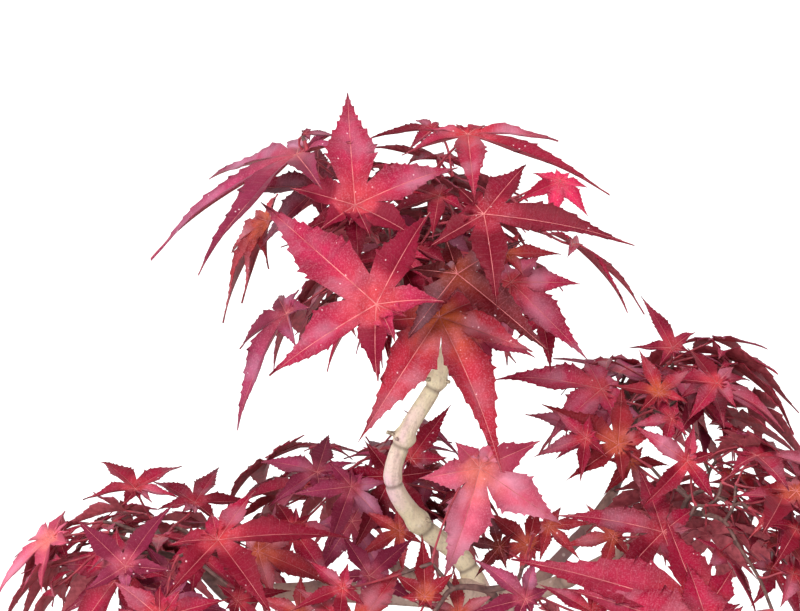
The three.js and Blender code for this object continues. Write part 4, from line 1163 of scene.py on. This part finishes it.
def fits(marks, centre, space):
    """Whether a leaf's marks keep inside a space, clear of the limbs and out of the view's open places."""
    if np.linalg.norm((marks - centre) / np.array(space), axis=1).max() > SPACE_SLACK:
        return False
    if hides_stem(marks) or fills_sky(marks) or hides_shown(marks):
        return False
    to_limbs = np.linalg.norm(marks[:, None] - limb_places[None], axis=-1) - limb_radii
    return to_limbs.min() >= LIMB_GAP


print(len(limb_places), "marks along the limbs and", len(SKY_WINDOWS), "windows of sky")

# %% [markdown]
# Now each mass is filled in turn, until it has as many leaves as in the CAD model.

# %% Leaves of the source's rule
LEAF_SIZES, HUB_SHELL, OWN_GAP, OTHER_GAP, TRIES = (20, 28), (0.3, 0.7), 3.5, 8.5, 80


def fill_mass(name, count, seed, sizes, shell, own_gap, other_gap):
    """Adds the rule's leaves to a mass until it has the count."""
    centre, space = MASSES[name][1:3]
    others = [marks for mass in MASSES if mass != name for marks in taken[mass]]
    for leaf in offered_leaves(centre, space, count * TRIES, seed, sizes, shell):
        if len(leaves[name]) >= count:
            break
        marks = leaf_marks(leaf)
        if not fits(marks, centre, space):
            continue
        if clear_of(marks, taken[name], own_gap) and clear_of(marks, others, other_gap):
            leaves[name].append(leaf)
            taken[name].append(marks)


for name, (_, _, _, count, seed) in MASSES.items():
    fill_mass(name, count, seed, LEAF_SIZES, HUB_SHELL, OWN_GAP, OTHER_GAP)
print("leaves of the source's rule:", {name: len(group) for name, group in leaves.items()})

# %% [markdown]
# Tints are dealt to whole leaves. Those at the top are deeper than those of the pads, and leaves inside
# a mass get duller tints than the outer ones, as painted shade, so each place has its own shares. A
# listed leaf keeps its own tint.

# %% Tints
TOP_TINTS = {"burgundy": 0.26, "plum": 0.08, "crimson": 0.34, "umber": 0.06, "brick": 0.1, "mauve": 0.16}
OUTER_TINTS = {"crimson": 0.3, "rose": 0.26, "mauve": 0.2, "brick": 0.14, "pink": 0.1}
# the duller shares for the leaves inside a mass paint the shade that they lie in
SHADED_INNER_TINTS = {"crimson": 0.32, "rose": 0.2, "mauve": 0.22, "brick": 0.14, "burgundy": 0.12}
TINT_SEED = 19
dealt = np.random.default_rng(TINT_SEED)


def deal_tints(pad_shares):
    """Gives a tint to every leaf that has none: first at the top, then in the pads."""
    for shares, masses in ((TOP_TINTS, ["leaves_apex"]), (pad_shares, MASSES)):
        for leaf in (leaf for name in masses for leaf in leaves[name]):
            leaf["tint"] = leaf["tint"] or dealt.choice(list(shares), p=list(shares.values()))


deal_tints(OUTER_TINTS)
print("tints at the top:", sorted({str(leaf["tint"]) for leaf in leaves["leaves_apex"]}))

# %% [markdown]
# The CAD model stops there, because every leaf costs faces. Here the same rule goes on with smaller
# leaves and closer spacing, so each mass fills up to a real crown's density within the same reach. A few
# small leaves are again listed one by one, where the photograph shows them, and a few more gaps of sky
# stay open.

# %% Finer leaves
FINE_SIZES, FINE_SHELL, FINE_OWN, FINE_OTHER, SEED_SHIFT = (15, 25), (0.15, 0.72), 2.3, 3.0, 500
FINE_COUNTS = {
    "leaves_apex": 72, "leaves_left": 60, "leaves_back_left": 42, "leaves_centre": 32, "leaves_right": 46,
    "leaves_right_back": 44, "leaves_low_left": 44, "leaves_low_right": 44, "leaves_low_back": 44,
}
FINE_SHOWN = {
    "leaves_apex": [((-27, -9, 330), 2, 60, 0, 8, (0.4, 0.4, 1, 1), "plum"),
                    ((20, -20, 303), 5, 35, 5, 13, (0.6, 0.6, 0.9, 1), "brick")],
    "leaves_left": [((-43, -22, 221), 20, 38, 0, 13, (1, 1, 1, 1), "crimson"),
                    ((-28, -26, 219), 150, 40, 0, 13, (1, 1, 1, 1), "brick")],
    "leaves_back_left": [((-5, 16, 229), 215, 30, 0, 13, (1, 1, 1, 1), "brick")],
    "leaves_centre": [((-18, -34, 227), 205, 36, 0, 13, (1, 1, 1, 1), "crimson"),
                      ((9, -27, 219), 95, 34, 0, 12, (1, 1, 1, 1), "brick"),
                      ((19, -10, 231), 165, 32, 5, 11, (1, 1, 1, 1), "umber"),
                      ((39, -40, 223), 140, 35, 0, 14, (1, 1, 1, 1), "crimson")],
    "leaves_right": [((40, -2, 256), 200, 35, 0, 13, (1, 1, 1, 1), "crimson"),
                     ((46, -12, 234), 190, 35, 0, 13, (1, 1, 1, 1), "brick")],
    "leaves_right_back": [((58, 4, 266), 100, 42, 5, 14, (1, 1, 1, 1), "flame")],
}
FINE_SKY = [
    ((-31, -25), (237, 242)), ((-24, -21), (235, 241)), ((-20, -13), (223, 231)), ((-12, -6), (231, 241)),
]

SKY_WINDOWS += FINE_SKY
for name, rows in FINE_SHOWN.items():
    small = [shown_leaf(*row) for row in rows]
    leaves[name] += small
    taken[name] += [leaf_marks(leaf) for leaf in small]
for name, count in FINE_COUNTS.items():
    fill_mass(name, count, MASSES[name][4] + SEED_SHIFT, FINE_SIZES, FINE_SHELL, FINE_OWN, FINE_OTHER)
deal_tints(SHADED_INNER_TINTS)
print("with finer leaves:", {name: len(group) for name, group in leaves.items()})

# %% [markdown]
# A maple leaf is a fan of toothed lobes that share one heart. It could be drawn as one outline and
# filled, but then no edge would run along the midribs and the blade could not fold there. So each lobe
# is a small grid: rows from the heart to the tip, columns from edge to edge with the midrib in the
# middle. Up to the notches the edges of neighbours lie on the same line, and further out the edge points
# stand out more at a tooth than at the bay beside it.

# %% Lobes of a leaf
LOBES = [(-160, 0.28), (-120, 0.52), (-64, 0.86), (0, 1.0), (64, 0.86), (120, 0.52), (160, 0.28)]
LOBE_ANGLES, LOBE_REACHES = np.array(LOBES).T
NOTCHES = [0.04, 0.09, 0.125, 0.15, 0.15, 0.125, 0.09, 0.04]
LOBE_WIDTH, WIDTH_POWER, LOBE_WIDEST, TIP_TAPER, INNER_ROWS = 0.122, 0.55, 0.44, 1.6, 3
TOOTH_OUT, BAY_OUT, TOOTH_LEAN, TOOTH_START, TOOTH_SHIFT = 0.036, 0.016, 0.94, 0.16, 0.22
TOOTH_SIZES, TOOTH_SPACING, TOOTH_FLANK = (0.6, 1.25), 0.22, (0.4, 0.45)
TEETH_FROM, TEETH_FADE, TEETH_LEVEL = 0.15, 0.6, 1.2


def lobe_width(share, start, widest, where):
    """Half the width of a lobe from its notch to its tip."""
    rise = start + (widest - start) * np.sin(np.pi / 2 * np.clip(share / where, 0, 1))
    fall = widest * np.clip((1 - share) / (1 - where), 0, 1) ** TIP_TAPER
    return np.where(share < where, rise, fall)


def tooth_rows(teeth, fine, chance):
    """Rows of a lobe beyond its notches: how far along each lies, and its tooth's size, or -1 for a bay."""
    marks = np.linspace(TOOTH_START, 1, teeth + 1)
    step = (1 - TOOTH_START) / teeth
    marks[1:-1] += chance.uniform(-TOOTH_SPACING, TOOTH_SPACING, teeth - 1) * step
    rows = [(0.0, 0.0)]
    for low, high in zip(marks, marks[1:]):
        size = chance.uniform(*TOOTH_SIZES)
        rows.append((low, -1.0))
        if fine:
            rows.append((low + TOOTH_FLANK[0] * (high - low), TOOTH_FLANK[1] * size))
        rows.append((low + TOOTH_LEAN * (high - low), size))
    return rows + [(1.0, 0.0)], step


def lobe_grid(number, teeth, columns, chance):
    """Rows of plan points for one lobe: lobe, along, across, outer share and column of each point."""
    angle, reach = LOBES[number]
    after = (LOBES[number + 1][0] - angle if number + 1 < len(LOBES) else 2 * (180 - angle)) / 2
    before = (angle - LOBES[number - 1][0] if number else 2 * (180 + angle)) / 2
    corner = {}
    for side, notch, turn in ((1, NOTCHES[number + 1], after), (-1, NOTCHES[number], before)):
        corner[side] = (notch * math.cos(math.radians(turn)), notch * math.sin(math.radians(turn)))
    foot = sum(inward for inward, _ in corner.values()) / 2
    widest, where = LOBE_WIDTH * reach ** WIDTH_POWER, (LOBE_WIDEST * reach - foot) / (reach - foot)
    rows = []
    for share in np.arange(INNER_ROWS) / INNER_ROWS:
        row = []
        for column in columns:
            inward, aside = corner[1 if column >= 0 else -1]
            along = share * (foot + (inward - foot) * abs(column))
            row.append((number, along, share * aside * column, 0.0, column))
        rows.append(row)
    stations, step = tooth_rows(teeth, len(columns) > 3, chance)
    for share, tooth in stations:
        fade = min(1, share / TEETH_FROM) * max(0, 1 - share) ** TEETH_FADE * TEETH_LEVEL
        size = fade * reach ** 0.5 * (TOOTH_OUT if tooth > 0 else BAY_OUT) * abs(tooth)
        row = []
        for column in columns:
            inward, aside = corner[1 if column >= 0 else -1]
            at_edge = np.sign(column) if abs(column) == 1 else 0
            across = column * lobe_width(share, aside, widest, where) + at_edge * size
            lean = (inward - foot) * abs(column) * (1 - share) ** 3
            row.append((number, foot + lean, across, share + at_edge * TOOTH_SHIFT * step * fade, column))
        rows.append(row)
    return np.array(rows), foot


print("the middle lobe's grid has", lobe_grid(3, 9, [-1, 0, 1], np.random.default_rng(0))[0].shape[0], "rows")

# %% [markdown]
# The grids of all lobes are welded into one plan where their points meet. The lobes are kept as numbers
# along and across, and become places only when a leaf's own reach, bends, spread and breadth are known,
# so one plan serves every leaf. Two plans are made: a fine one for the leaves at the front, and a plainer
# one for the rest.

# %% Leaf plan
FINE_TEETH, PLAIN_TEETH, PLAN_SEED = (3, 5, 8, 9), (2, 4, 6, 7), 3
BREADTH_POWER, BREADTH_RISE, BACK_LOBE = 0.6, 4, 120


def opened(angles, spread):
    """Angles of a leaf that opens more or less widely; straight back stays straight back."""
    return np.sign(angles) * np.interp(np.abs(angles), [0, BACK_LOBE, 180], [0, BACK_LOBE * spread, 180])


def plan_places(points, feet, reaches, bends, spread=1, breadth=1):
    """Flat places of plan points, as shares of the leaf's length, for the reach and bend of each lobe."""
    lobe = points[:, 0].astype(int)
    along, across, share = points[:, 1], points[:, 2], points[:, 3]
    broader = breadth * (reaches / LOBE_REACHES)[lobe] ** BREADTH_POWER - 1
    along = along + share * (reaches - feet)[lobe]
    across = across * (1 + broader * np.clip(BREADTH_RISE * share, 0, 1)) + bends[lobe] * share ** 2
    angle = LOBE_ANGLES[lobe]
    away, turn = np.hypot(along, across), angle + np.degrees(np.arctan2(across, along))
    turn = np.radians(np.where(share > 0, turn + opened(angle, spread) - angle, opened(turn, spread)))
    return np.stack([away * np.cos(turn), away * np.sin(turn)], -1)


def leaf_plan(teeth, columns):
    """The plan of a whole leaf: its points, upper triangles, midrib rows and the feet of its lobes."""
    points, triangles, midribs, feet, start = [], [], [], [], 0
    chance = np.random.default_rng(PLAN_SEED)
    left = (np.array(columns[:-1]) < 0)[None, :, None]
    for number in range(len(LOBES)):
        grid, foot = lobe_grid(number, teeth[min(number, len(LOBES) - 1 - number)], columns, chance)
        index = start + np.arange(grid.shape[0] * grid.shape[1]).reshape(grid.shape[:2])
        a, b, c, d = index[:-1, :-1], index[:-1, 1:], index[1:, 1:], index[1:, :-1]
        one = np.where(left, np.stack([a, c, b], -1), np.stack([a, d, b], -1))
        two = np.where(left, np.stack([a, d, c], -1), np.stack([b, d, c], -1))
        triangles += [one.reshape(-1, 3), two.reshape(-1, 3)]
        midribs.append(index[:, columns.index(0)])
        points.append(grid.reshape(-1, 5))
        feet.append(foot)
        start += index.size
    points, feet = np.vstack(points), np.array(feet)
    flat = plan_places(points, feet, LOBE_REACHES, np.zeros(len(LOBES)))
    _, first, same = np.unique(np.round(flat, 6), axis=0, return_index=True, return_inverse=True)
    same, flat = same.ravel(), flat[first]
    triangles = same[np.vstack(triangles)]
    a, b, c = triangles.T
    triangles = triangles[(a != b) & (b != c) & (a != c)]
    a, b, c = (flat[corner] for corner in triangles.T)
    face_down = (b - a)[:, 0] * (c - a)[:, 1] - (b - a)[:, 1] * (c - a)[:, 0] < 0
    triangles[face_down] = triangles[face_down][:, ::-1]
    return points[first], triangles, [same[row] for row in midribs], feet


PLANS = {True: leaf_plan(FINE_TEETH, [-1, -0.5, 0, 0.5, 1]), False: leaf_plan(PLAIN_TEETH, [-1, 0, 1])}
for near, plan in PLANS.items():
    print("near" if near else "far", "leaf plan:", len(plan[0]), "points,", len(plan[1]), "triangles a side")

# %% [markdown]
# A living leaf is not flat. The blade folds up a little along each midrib, droops towards its tips,
# ripples along its edges and rolls to one side, and no two leaves do it alike. The numbers for that are
# drawn from one seeded run, leaf by leaf. Listed leaves are calmer, so that they keep the outline that
# they were given.

# %% Bent leaves
FOLDS, TIP_CURLS, RIPPLES, CAMBER = (0.4, 0.7), (0.08, 0.3), (0.006, 0.014), 0.45
LOBE_BEND, LOBE_ROLL, LOBE_LIFT, CALM, CALM_DROOP = 0.03, 0.22, 0.05, 0.5, 0.4
RIPPLE_TURNS, RIPPLE_RISE, FOLD_FADE, CURL_FROM, BEND_SEED = 9, 5, 0.5, 0.5, 7
drawn = np.random.default_rng(BEND_SEED)


def leaf_points(leaf, plan):
    """Upper points of a leaf in millimetres."""
    points, _, _, feet = plan
    growth = np.where(LOBE_ANGLES > 0, leaf["sides"][0], leaf["sides"][1])
    reaches = LOBE_REACHES * np.where(LOBE_ANGLES == 0, 1, growth)
    calm = CALM if leaf["near"] else 1.0
    bends = drawn.normal(0, LOBE_BEND, len(LOBES)) * calm
    fold, tip, ripple = drawn.uniform(*FOLDS), drawn.uniform(*TIP_CURLS) * calm, drawn.uniform(*RIPPLES)
    rolls = drawn.normal(0, LOBE_ROLL, len(LOBES))
    lifts = drawn.normal(0, LOBE_LIFT, len(LOBES)) * calm
    phases = drawn.uniform(*PHASES, len(LOBES))
    flat = plan_places(points, feet, reaches, bends, leaf["spread"], leaf["breadth"])
    lobe, across, share, edge = points[:, 0].astype(int), points[:, 2], points[:, 3], np.abs(points[:, 4])
    away = np.linalg.norm(flat, axis=1)
    lift = -LEAF_DROOP * (CALM_DROOP + (1 - CALM_DROOP) * calm) * away ** 2
    lift += fold * np.abs(across) * np.clip(1 - FOLD_FADE * share, 0, 1)
    lift += rolls[lobe] * across * share + lifts[lobe] * share ** 2
    lift -= tip * np.clip(share - CURL_FROM, 0, 1) ** 2 * reaches[lobe]
    waves = np.sin(RIPPLE_TURNS * share + phases[lobe]) * np.clip(RIPPLE_RISE * share, 0, 1)
    lift += ripple * waves * edge ** 2
    lift += CAMBER * np.abs(across) * (1 - edge)
    axes = np.stack([leaf["ahead"], leaf["side"], leaf["face"]])
    return leaf["hub"] + leaf["length"] * np.column_stack([flat, lift]) @ axes


print("blades fold by", FOLDS, "of their width and ripple by up to", RIPPLES[1], "of their length")

# %% [markdown]
# Light falls on every lobe differently, and so does the deepening of its red, so a lobe's tone is partly
# painted shade and partly its own depth of colour. Each lobe gets a tone by chance, with a step between
# its two halves at the midrib that paints the shade of the folded blade, and the leaves that the eye goes
# to first have theirs listed after the photograph: first the seven lobes, then the step in each.

# %% Tones of the lobes
# the step between the halves of a lobe is painted shade, for the side of the fold turned from the light
TONE_SEED, HALF_SHADE_STEP, HEART_TONE, TONE_RISE = 32203, 0.45, 0.4, 6
FRONT_TONES = {
    ("leaves_apex", 5): ((0.8, 0.9, 0.85, 0.75, 0.7, 0.9, 0.9), (0.5, 0.5, 0.6, 0.7, 0.3, 0.5, 0.5)),
    ("leaves_apex", 11): ((0.3, 0.2, 0.2, 0.3, 0.2, 0.4, 0.3), (0.5, 0.5, 0.4, 0.5, 0.5, 0.5, 0.5)),
    ("leaves_left", 2): ((0.6, 0.7, 0.85, 0.8, 0.75, 0.3, 0.5), (0.5, 0.5, 0.7, 0.6, 0.5, 0.5, 0.5)),
    ("leaves_right", 2): ((0.6, 0.6, 0.65, 0.55, 0.5, 0.7, 0.6), (0.5, 0.5, 0.4, 0.6, 0.5, 0.5, 0.5)),
    ("leaves_right", 5): ((0.5, 0.5, 0.5, 0.45, 0.5, 0.6, 0.5), (0.5, 0.5, 0.5, 0.7, 0.5, 0.5, 0.5)),
    ("leaves_right_back", 0): ((0.3, 0.3, 0.2, 0.2, 0.3, 0.4, 0.3), (0.5, 0.5, 0.5, 0.4, 0.5, 0.5, 0.5)),
    ("leaves_apex", 0): ((0.9, 0.9, 0.3, 0.4, 0.8, 0.9, 0.9), (0.5, 0.5, 0.8, 0.75, 0.5, 0.5, 0.5)),
    ("leaves_apex", 2): ((0.5, 0.2, 0.85, 0.3, 0.3, 0.95, 0.5), (0.5, 0.5, 0.4, 0.1, 0.9, 0.5, 0.5)),
    ("leaves_apex", 3): ((0.5, 0.6, 0.4, 0.4, 0.2, 0.6, 0.5), (0.5, 0.5, 0.3, 0.8, 0.5, 0.5, 0.5)),
    ("leaves_centre", 3): ((0.3, 0.7, 0.2, 0.1, 0.2, 0.8, 0.3), (0.5, 0.5, 0.4, 0.6, 0.5, 0.5, 0.5)),
}
dark_or_light = np.random.default_rng(TONE_SEED)


def lobe_tones(name, number, plan_points):
    """How deep the colour is at each plan point of a leaf, partly as painted shade."""
    lobe, share, column = plan_points[:, 0].astype(int), plan_points[:, 3], plan_points[:, 4]
    chances = dark_or_light.uniform(0, 1, (2, len(LOBES)))
    whole, halves = np.array(FRONT_TONES.get((name, number), chances))[:, lobe]
    tone_and_shade = whole + HALF_SHADE_STEP * (halves - 0.5) * column
    return HEART_TONE + (tone_and_shade - HEART_TONE) * np.clip(TONE_RISE * share, 0, 1)


print(len(FRONT_TONES), "leaves have tones set by hand")

# %% [markdown]
# A blade gets a thin underside in a duller finish and a narrow rim, so it is a closed sheet. Its midribs
# are raised ridges in a pale tint of their own. Rims and midribs stay sharp edges, and everything between
# is shaded smooth. The blades of a mass make one piece, which stands for the mass, and its midribs
# another.

# %% Blade and midrib of one leaf
BLADE_THICKNESS, VEIN_WIDTH, VEIN_RISE, VEIN_SUNK, VEIN_TAPER = 0.22, 0.006, 0.75, 0.5, 0.82
tint_names = list(TINTS)


def rim_edges(triangles):
    """Edges of a sheet that only one triangle uses, in that triangle's order."""
    ends = np.vstack([triangles[:, [0, 1]], triangles[:, [1, 2]], triangles[:, [2, 0]]])
    keys = np.sort(ends, axis=1)
    _, first, count = np.unique(keys, axis=0, return_index=True, return_counts=True)
    return ends[first[count == 1]]


def vein_tube(line, lateral, face, length):
    """A ridge along a midrib with four sides, from its row of points."""
    share = np.linspace(0, 1, len(line))[:, None]
    half = VEIN_WIDTH * length * (1 - VEIN_TAPER * share)
    up = face * (half * VEIN_RISE)
    down = face * (half * VEIN_SUNK + BLADE_THICKNESS)
    return skin(np.stack([line + up, line - lateral * half, line - down, line + lateral * half], 1))


def leaf_veins(leaf, upper, midribs):
    """The ridges along all midribs of a leaf."""
    turns = np.radians(opened(LOBE_ANGLES, leaf["spread"]))
    for turn, row in zip(turns, midribs):
        lateral = math.cos(turn) * leaf["side"] - math.sin(turn) * leaf["ahead"]
        yield vein_tube(upper[row], lateral, leaf["face"], leaf["length"])


def closed_blade(triangles, midribs, count):
    """Faces of a blade with its underside and rim, how many are in each, and its sharp edges."""
    rim = rim_edges(triangles)
    a, b = rim[:, 0], rim[:, 1]
    walls = np.vstack([np.stack([b, a, a + count], -1), np.stack([b, a + count, b + count], -1)])
    faces = np.vstack([triangles, triangles[:, ::-1] + count, walls])
    ribs = np.vstack([np.stack([row[:-1], row[1:]], -1) for row in midribs])
    parts = [len(triangles), len(triangles), len(walls)]
    return faces, parts, np.vstack([rim, rim + count, ribs])


for near, (plan_points, triangles, midribs, _) in PLANS.items():
    faces, _, edges = closed_blade(triangles, midribs, len(plan_points))
    print("near" if near else "far", "blade:", len(faces), "faces and", len(edges), "sharp edges")

# %% [markdown]
# All leaves of a mass are now bent, closed and joined. The leaf that the light shines through, in the
# tint called glow, has the same bright finish on both sides: the light that shines through it is painted
# into that bright tint.

# %% Blades and midribs


def mass_blades(name):
    """Points, faces, finishes, maps, tones and sharp edges of a mass's blades, and its midribs' skins."""
    points, faces, paint, maps, tones, sharp, veins, start = [], [], [], [], [], [], [], 0
    for number, leaf in enumerate(leaves[name]):
        plan = PLANS[leaf["near"]]
        plan_points, triangles, midribs, _ = plan
        upper = leaf_points(leaf, plan)
        rows, parts, edges = closed_blade(triangles, midribs, len(upper))
        top = tint_names.index(leaf["tint"])
        # a leaf in glow has its painted light on the underside too
        under = top if leaf["tint"] == "glow" else len(tint_names)
        along = np.linalg.norm(plan_points[:, 1:3], axis=1) + plan_points[:, 3]
        lay = np.column_stack([along, np.abs(plan_points[:, 2])])
        points += [upper, upper - leaf["face"] * BLADE_THICKNESS]
        faces.append(rows + start)
        paint.append(np.repeat([top, under, top], parts))
        maps.append(np.vstack([lay, lay])[rows])
        tones += 2 * [lobe_tones(name, number, plan_points)]
        sharp.append(edges + start)
        veins += leaf_veins(leaf, upper, midribs)
        start += 2 * len(upper)
    return *(np.concatenate(rows) for rows in (points, faces, paint, maps, tones, sharp)), veins


for name in MASSES:
    points, faces, paint, maps, tones, sharp, veins = mass_blades(name)
    mesh = mesh_from(name + "_blades", points, [faces], sharp)
    for finish in (*leaf_tints.values(), leaf_under):
        mesh.materials.append(finish)
    mesh.polygons.foreach_set("material_index", paint.astype(np.int32))
    mesh.uv_layers.new(name=LEAF_MAP).data.foreach_set("uv", maps.astype(np.float32).ravel())
    mesh.attributes.new(LOBE_TONE_AND_SHADE, "FLOAT", "POINT").data.foreach_set("value", tones.astype(np.float32))
    hand_over(bpy.data.objects.new(name + "_blades", mesh), "leaves", name)
    skin_piece(name + "_midribs", veins, leaf_vein, "leaves")

# %% [markdown]
# Twigs grow by the source's rule. A mass's leaves are halved across their widest spread at each fork;
# the twig runs on to the half that lies straighter ahead, and the other half gets a twig of its own. A
# twig is as thick as the leaves it carries ask for.

# %% Twig forks
TWIG_STEP, STALK_FOOT, TWIG_POWER, TWIG_LEAST = 0.42, 0.5, 0.5, 0.42
TWIG_MARKS, SEAT_GAP, SEAT_DEEP = 5, 0.3, 2


def mean_foot(group):
    """The middle of the places where a group's leaf stalks start."""
    return np.mean([leaf["hub"] - STALK_FOOT * leaf["length"] * leaf["ahead"] for leaf in group], axis=0)


def grow_twigs(points, counts, group, twigs):
    """Carries a twig on to a group of leaves, and starts a new one at each fork."""
    counts.append(len(group))
    if len(group) == 1:
        twigs.append((points, counts, group[0]))
        return
    fork = points[-1] + TWIG_STEP * (mean_foot(group) - points[-1])
    hubs = np.array([leaf["hub"] for leaf in group])
    axis = int(np.argmax(np.ptp(hubs, axis=0)))
    order = np.argsort(hubs[:, axis], kind="stable")
    middle = (len(group) + 1) // 2
    halves = [[group[i] for i in order[:middle]], [group[i] for i in order[middle:]]]
    way = unit(fork - points[-1])
    halves.sort(key=lambda half_group: -float(unit(mean_foot(half_group) - fork).dot(way)))
    grow_twigs(points + [fork], counts, halves[0], twigs)
    grow_twigs([fork], [], halves[1], twigs)


def mass_forks(name):
    """All twigs of a mass: their points, their radii there, and the leaf at the end of each."""
    limb, twigs = MASSES[name][0], []
    line, thin = (trunk_line, TRUNK_LINE[-1, 3]) if limb == "trunk" else (bough_lines[limb], BOUGHS[limb][5])
    tip, way = line(1)[0], tangents(line, np.ones(1))[0]
    grow_twigs([tip - SEAT_DEEP * way, tip + SEAT_GAP * way], [len(leaves[name])], leaves[name], twigs)
    for points, counts, leaf in twigs:
        radii = np.maximum(TWIG_LEAST, thin * (np.array(counts) / len(leaves[name])) ** TWIG_POWER)
        yield points, radii, leaf


forks = {name: list(mass_forks(name)) for name in MASSES}
print("twigs:", {name: len(rows) for name, rows in forks.items()})

# %% [markdown]
# What is left at the end of every twig is the leaf's own stalk, thin, red and slightly sagging, which
# comes to the heart from behind and below. High on the left of the top mass one stalk ends in a dark
# cut, where a leaf was pinched off.

# %% Twig lines
STALK_RADIUS, STALK_MARKS, STALK_LEAVE, STALK_ARRIVE, STALK_LONGEST = 0.3, 9, 0.35, 0.4, 9
STALK_SWELLS = ([0, 0.12, 0.85, 1], [1.7, 1, 1, 1.5])
TWIG_PULL, HEART_AHEAD, HEART_ABOVE = 0.5, 0.85, 0.45
CUT_MASS, CUT_STALK, CUT_RADIUS = "leaves_apex", ((-23.5, -12, 319.8), (-27.2, -12, 328.7)), 0.5
CUT_SUNK, CUT_TAPER = 0.2, (1.05, 0.9)


def twig_line(points, radii):
    """The places and radii along a twig."""
    ends = np.linspace(0, 1, len(points))
    shares = np.linspace(0, 1, TWIG_MARKS * (len(points) - 1) + 1)
    straight = points[0] + shares[:, None] * (points[-1] - points[0])
    return smooth_line(points)(shares) if len(points) > 2 else straight, np.interp(shares, ends, radii)


def stalk_line(start, way, leaf):
    """The places and radii along a leaf stalk, from its twig to the heart of its leaf."""
    end = leaf["hub"] - leaf["face"] * BLADE_THICKNESS
    reach = np.linalg.norm(end - start)
    leave = start + STALK_LEAVE * reach * unit(unit(end - start) + TWIG_PULL * way)
    behind = unit(HEART_AHEAD * leaf["ahead"] + HEART_ABOVE * leaf["face"])
    arrive = end - min(STALK_ARRIVE * reach, STALK_LONGEST) * behind
    shares = np.linspace(0, 1, STALK_MARKS)
    t = shares[:, None]
    path = (1 - t) ** 3 * start + 3 * t * (1 - t) ** 2 * leave + 3 * t ** 2 * (1 - t) * arrive + t ** 3 * end
    return path, STALK_RADIUS * np.interp(shares, *STALK_SWELLS)


def add_cut_stalk(wood, stalks):
    """A stalk without a leaf, from the nearest twig to its dark cut end."""
    foot, end = np.array(CUT_STALK)
    twig_places = np.vstack([path for path, _ in wood])
    start = twig_places[np.linalg.norm(twig_places - foot, axis=1).argmin()]
    path = smooth_line([start, foot, end])(np.linspace(0, 1, STALK_MARKS))
    way = unit(path[-1] - path[-2])
    stalks.append((path, np.full(STALK_MARKS, CUT_RADIUS)))
    wood.append((np.array([end - CUT_SUNK * way, end + way]), np.array(CUT_TAPER) * CUT_RADIUS))


def mass_twigs(name):
    """Twig and stalk lines of a mass, each a row of places and a row of radii."""
    wood, stalks = [], []
    for points, radii, leaf in forks[name]:
        way = leaf["ahead"]
        if len(points) > 1:
            way = unit(points[-1] - points[-2])
            wood.append(twig_line(points, radii[:len(points)]))
        stalks.append(stalk_line(points[-1], way, leaf))
    if name == CUT_MASS:
        add_cut_stalk(wood, stalks)
    return wood, stalks


twig_lines = {name: mass_twigs(name) for name in MASSES}
print("stalks:", {name: len(stalks) for name, (_, stalks) in twig_lines.items()})

# %% [markdown]
# A twig is a line with a thickness, so Geometry Nodes give it its skin: a small circle is drawn along
# every line, scaled by the radius stored at each point. The tree has named inputs for the number of
# sides and the finish, and one copy of it serves both the brown twigs and the red stalks.

# %% Twig skin
TWIG_SIDES, STALK_SIDES = 8, 6


def twig_tree():
    """Draws a circle along every line, as thick as its radius says."""
    tree, given = start_tree("twig_skin", Sides="Int", Finish="Material")
    circle = add_node(tree, "GeometryNodeCurvePrimitiveCircle", "Curve", {
        "Radius": 1, "Resolution": given["Sides"]})
    swept = add_node(tree, "GeometryNodeCurveToMesh", "Mesh", {
        "Curve": given["Geometry"], "Profile Curve": circle, "Fill Caps": True,
        "Scale": add_node(tree, "GeometryNodeInputRadius", 0)})
    smooth = add_node(tree, "GeometryNodeSetShadeSmooth", "Geometry", {"Geometry": swept})
    return end_tree(tree, smooth, given["Finish"])


def lines_object(lines):
    """A curve object with one line for each row of places and radii."""
    curve = bpy.data.curves.new("lines", "CURVE")
    curve.dimensions = "3D"
    for places, radii in lines:
        spline = curve.splines.new("POLY")
        spline.points.add(len(places) - 1)
        four = np.column_stack([places * MM, np.ones(len(places))])
        spline.points.foreach_set("co", four.astype(np.float32).ravel())
        spline.points.foreach_set("radius", (radii * MM).astype(np.float32))
    return bpy.data.objects.new("lines", curve)


skin_tree = twig_tree()
for name, (wood, stalks) in twig_lines.items():
    hand_over(grown_piece(
        name + "_twigs", lines_object(wood), skin_tree, Sides=TWIG_SIDES, Finish=twig_brown), "bough_bark")
    hand_over(grown_piece(
        name + "_stalks", lines_object(stalks), skin_tree, Sides=STALK_SIDES, Finish=stalk_red), "leaves")
